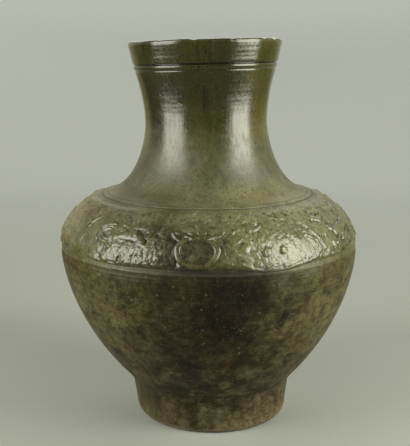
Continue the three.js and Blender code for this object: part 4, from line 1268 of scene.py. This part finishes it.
def make_paper():
    """Pale grey paper, a little lighter far off than it is lit, darker out of the camera's view.

    Where the camera doesn't see the floor or the wall, a pale one would only lie on every overhang
    as a haze."""
    sheet = Nodes("sweep_paper")
    x, y, z = sheet.x, sheet.y, sheet.z
    away = sheet.math("SQRT", sheet.plus(sheet.times(x, x), y, y))
    paper = sheet.mixed(sheet.noise(1.4, 2.0), solid((174, 177, 170)), solid((180, 183, 177)))
    aside = sheet.plus(sheet.math("ABSOLUTE", x), y, -0.33)
    behind = sheet.times(sheet.between(y, 0.1, 0.4), sheet.between(aside, 0.50, 0.33))
    on_floor = sheet.times(
        sheet.between(away, 0.32, 0.62), sheet.between(behind, 0.0, 1.0, 1.0, 0.0),
        sheet.between(z, 0.02, 0.3, 1.0, 0.0))
    on_wall = sheet.times(sheet.between(y, 0.1, -0.7), sheet.between(z, 0.3, 1.2, 1.0, 0.4))
    shade = sheet.math("MAXIMUM", on_floor, on_wall)
    shaded = sheet.mixed(sheet.times(shade, 0.85), paper, solid((72, 73, 68)))
    sheet.put(sheet.shader.inputs["Base Color"], shaded)
    sheet.shader.inputs["Roughness"].default_value = 0.9
    sheet.shader.inputs["Specular IOR Level"].default_value = 0.1
    ray = sheet.tree.nodes.new("ShaderNodeLightPath").outputs
    shown = sheet.math("MAXIMUM", ray["Is Camera Ray"], ray["Is Glossy Ray"])
    shown = sheet.math("MAXIMUM", shown, ray["Is Transmission Ray"])
    glow = sheet.plus(
        sheet.between(away, 0.2, 1.9, 0.01, 0.17), sheet.between(z, 0.05, 0.9, 0.0, 0.17))
    glow = sheet.times(glow, sheet.between(shade, 0.0, 1.0, 1.0, 0.2), shown)
    sheet.shader.inputs["Emission Color"].default_value = solid((249, 254, 246))
    sheet.put(sheet.shader.inputs["Emission Strength"], glow)
    return sheet.material


def make_stage():
    """Pale seamless cove all round: a flat floor that curves up into a wall."""
    bend = np.linspace(0, np.pi / 2, 24)
    wall_reach = STAGE_FLAT + STAGE_BEND
    reach = np.concatenate([[0.3, 0.8], STAGE_FLAT + STAGE_BEND * np.sin(bend), [wall_reach]])
    rise = np.concatenate([[0.0, 0.0], STAGE_BEND * (1 - np.cos(bend)), [STAGE_TOP]])
    angle = np.arange(STAGE_COLUMNS) * -2 * np.pi / STAGE_COLUMNS
    points = np.stack(np.broadcast_arrays(
        reach[:, None] * np.cos(angle), reach[:, None] * np.sin(angle), rise[:, None]), axis=-1)
    faces = grid_faces(len(reach), STAGE_COLUMNS, False, True).tolist()
    faces.append(list(range(STAGE_COLUMNS))[::-1])
    mesh = bpy.data.meshes.new("sweep")
    mesh.from_pydata(points.reshape(-1, 3).tolist(), [], faces)
    mesh.polygons.foreach_set("use_smooth", np.ones(len(mesh.polygons), bool))
    mesh.materials.append(make_paper())
    sweep = bpy.data.objects.new("sweep", mesh)
    bpy.context.scene.collection.objects.link(sweep)


CAMERA_TURN = 4.0
CAMERA_DISTANCE = 0.8889
CAMERA_HEIGHT = 0.3815
CAMERA_PITCH = 11.13
CAMERA_LENS = 67.6
CAMERA_SLIDE = -0.0037


def make_camera():
    """Camera at the photograph's viewing angle."""
    data = bpy.data.cameras.new("camera")
    data.sensor_fit = "VERTICAL"
    data.sensor_height = 36.0
    data.lens = CAMERA_LENS
    camera = bpy.data.objects.new("camera", data)
    turn = math.radians(CAMERA_TURN)
    camera.location = (
        CAMERA_DISTANCE * math.sin(turn) + CAMERA_SLIDE * math.cos(turn),
        -CAMERA_DISTANCE * math.cos(turn) + CAMERA_SLIDE * math.sin(turn),
        CAMERA_HEIGHT)
    camera.rotation_euler = (math.radians(90 - CAMERA_PITCH), 0, turn)
    bpy.context.scene.collection.objects.link(camera)
    bpy.context.scene.camera = camera


LAMP_TINT = (1.0, 1.0, 0.87)
BOX_DISTANCE = 1.22
BOX_SIZE = (0.85, 1.4)
LEFT_BOX_TURN = -62.0
LEFT_BOX_RADIANCE = 6.144
RIGHT_BOX_TURN = 64.0
RIGHT_BOX_RADIANCE = 7.68
BACK_LAMP_PLACE = (0.0, 1.5, 1.3)
BACK_LAMP_TILT = -53.0
BACK_LAMP_SIZE = (1.6, 1.1)
BACK_LAMP_RADIANCE = 1.6


def make_lamp(name, place, size, radiance, tilt, turn=0.0):
    """Flat lamp, tilted up from facing the floor and then turned about the upright."""
    data = bpy.data.lights.new(name, "AREA")
    data.shape = "RECTANGLE"
    data.size, data.size_y = size
    data.energy = radiance * math.pi * size[0] * size[1]
    data.color = LAMP_TINT
    lamp = bpy.data.objects.new(name, data)
    lamp.location = place
    lamp.rotation_euler = (math.radians(tilt), 0, math.radians(turn))
    bpy.context.scene.collection.objects.link(lamp)


def make_soft_box(name, from_camera, radiance):
    """Tall soft box that stands on the floor at a turn from the camera and faces the jar."""
    turn = CAMERA_TURN + from_camera
    angle = math.radians(turn)
    place = (BOX_DISTANCE * math.sin(angle), -BOX_DISTANCE * math.cos(angle), BOX_SIZE[1] / 2)
    make_lamp(name, place, BOX_SIZE, radiance, 90.0, turn)


def make_world():
    """Dim grey room light."""
    world = bpy.data.worlds.new("room")
    world.use_nodes = True
    shade = world.node_tree.nodes["Background"]
    shade.inputs[0].default_value = (0.05, 0.05, 0.048, 1.0)
    shade.inputs[1].default_value = 1.0
    bpy.context.scene.world = world


make_stage()
make_camera()
make_soft_box("soft_box_left", LEFT_BOX_TURN, LEFT_BOX_RADIANCE)
make_soft_box("soft_box_right", RIGHT_BOX_TURN, RIGHT_BOX_RADIANCE)
make_lamp("back_lamp", BACK_LAMP_PLACE, BACK_LAMP_SIZE, BACK_LAMP_RADIANCE, BACK_LAMP_TILT)
make_world()
bpy.context.scene.view_settings.view_transform = "Standard"
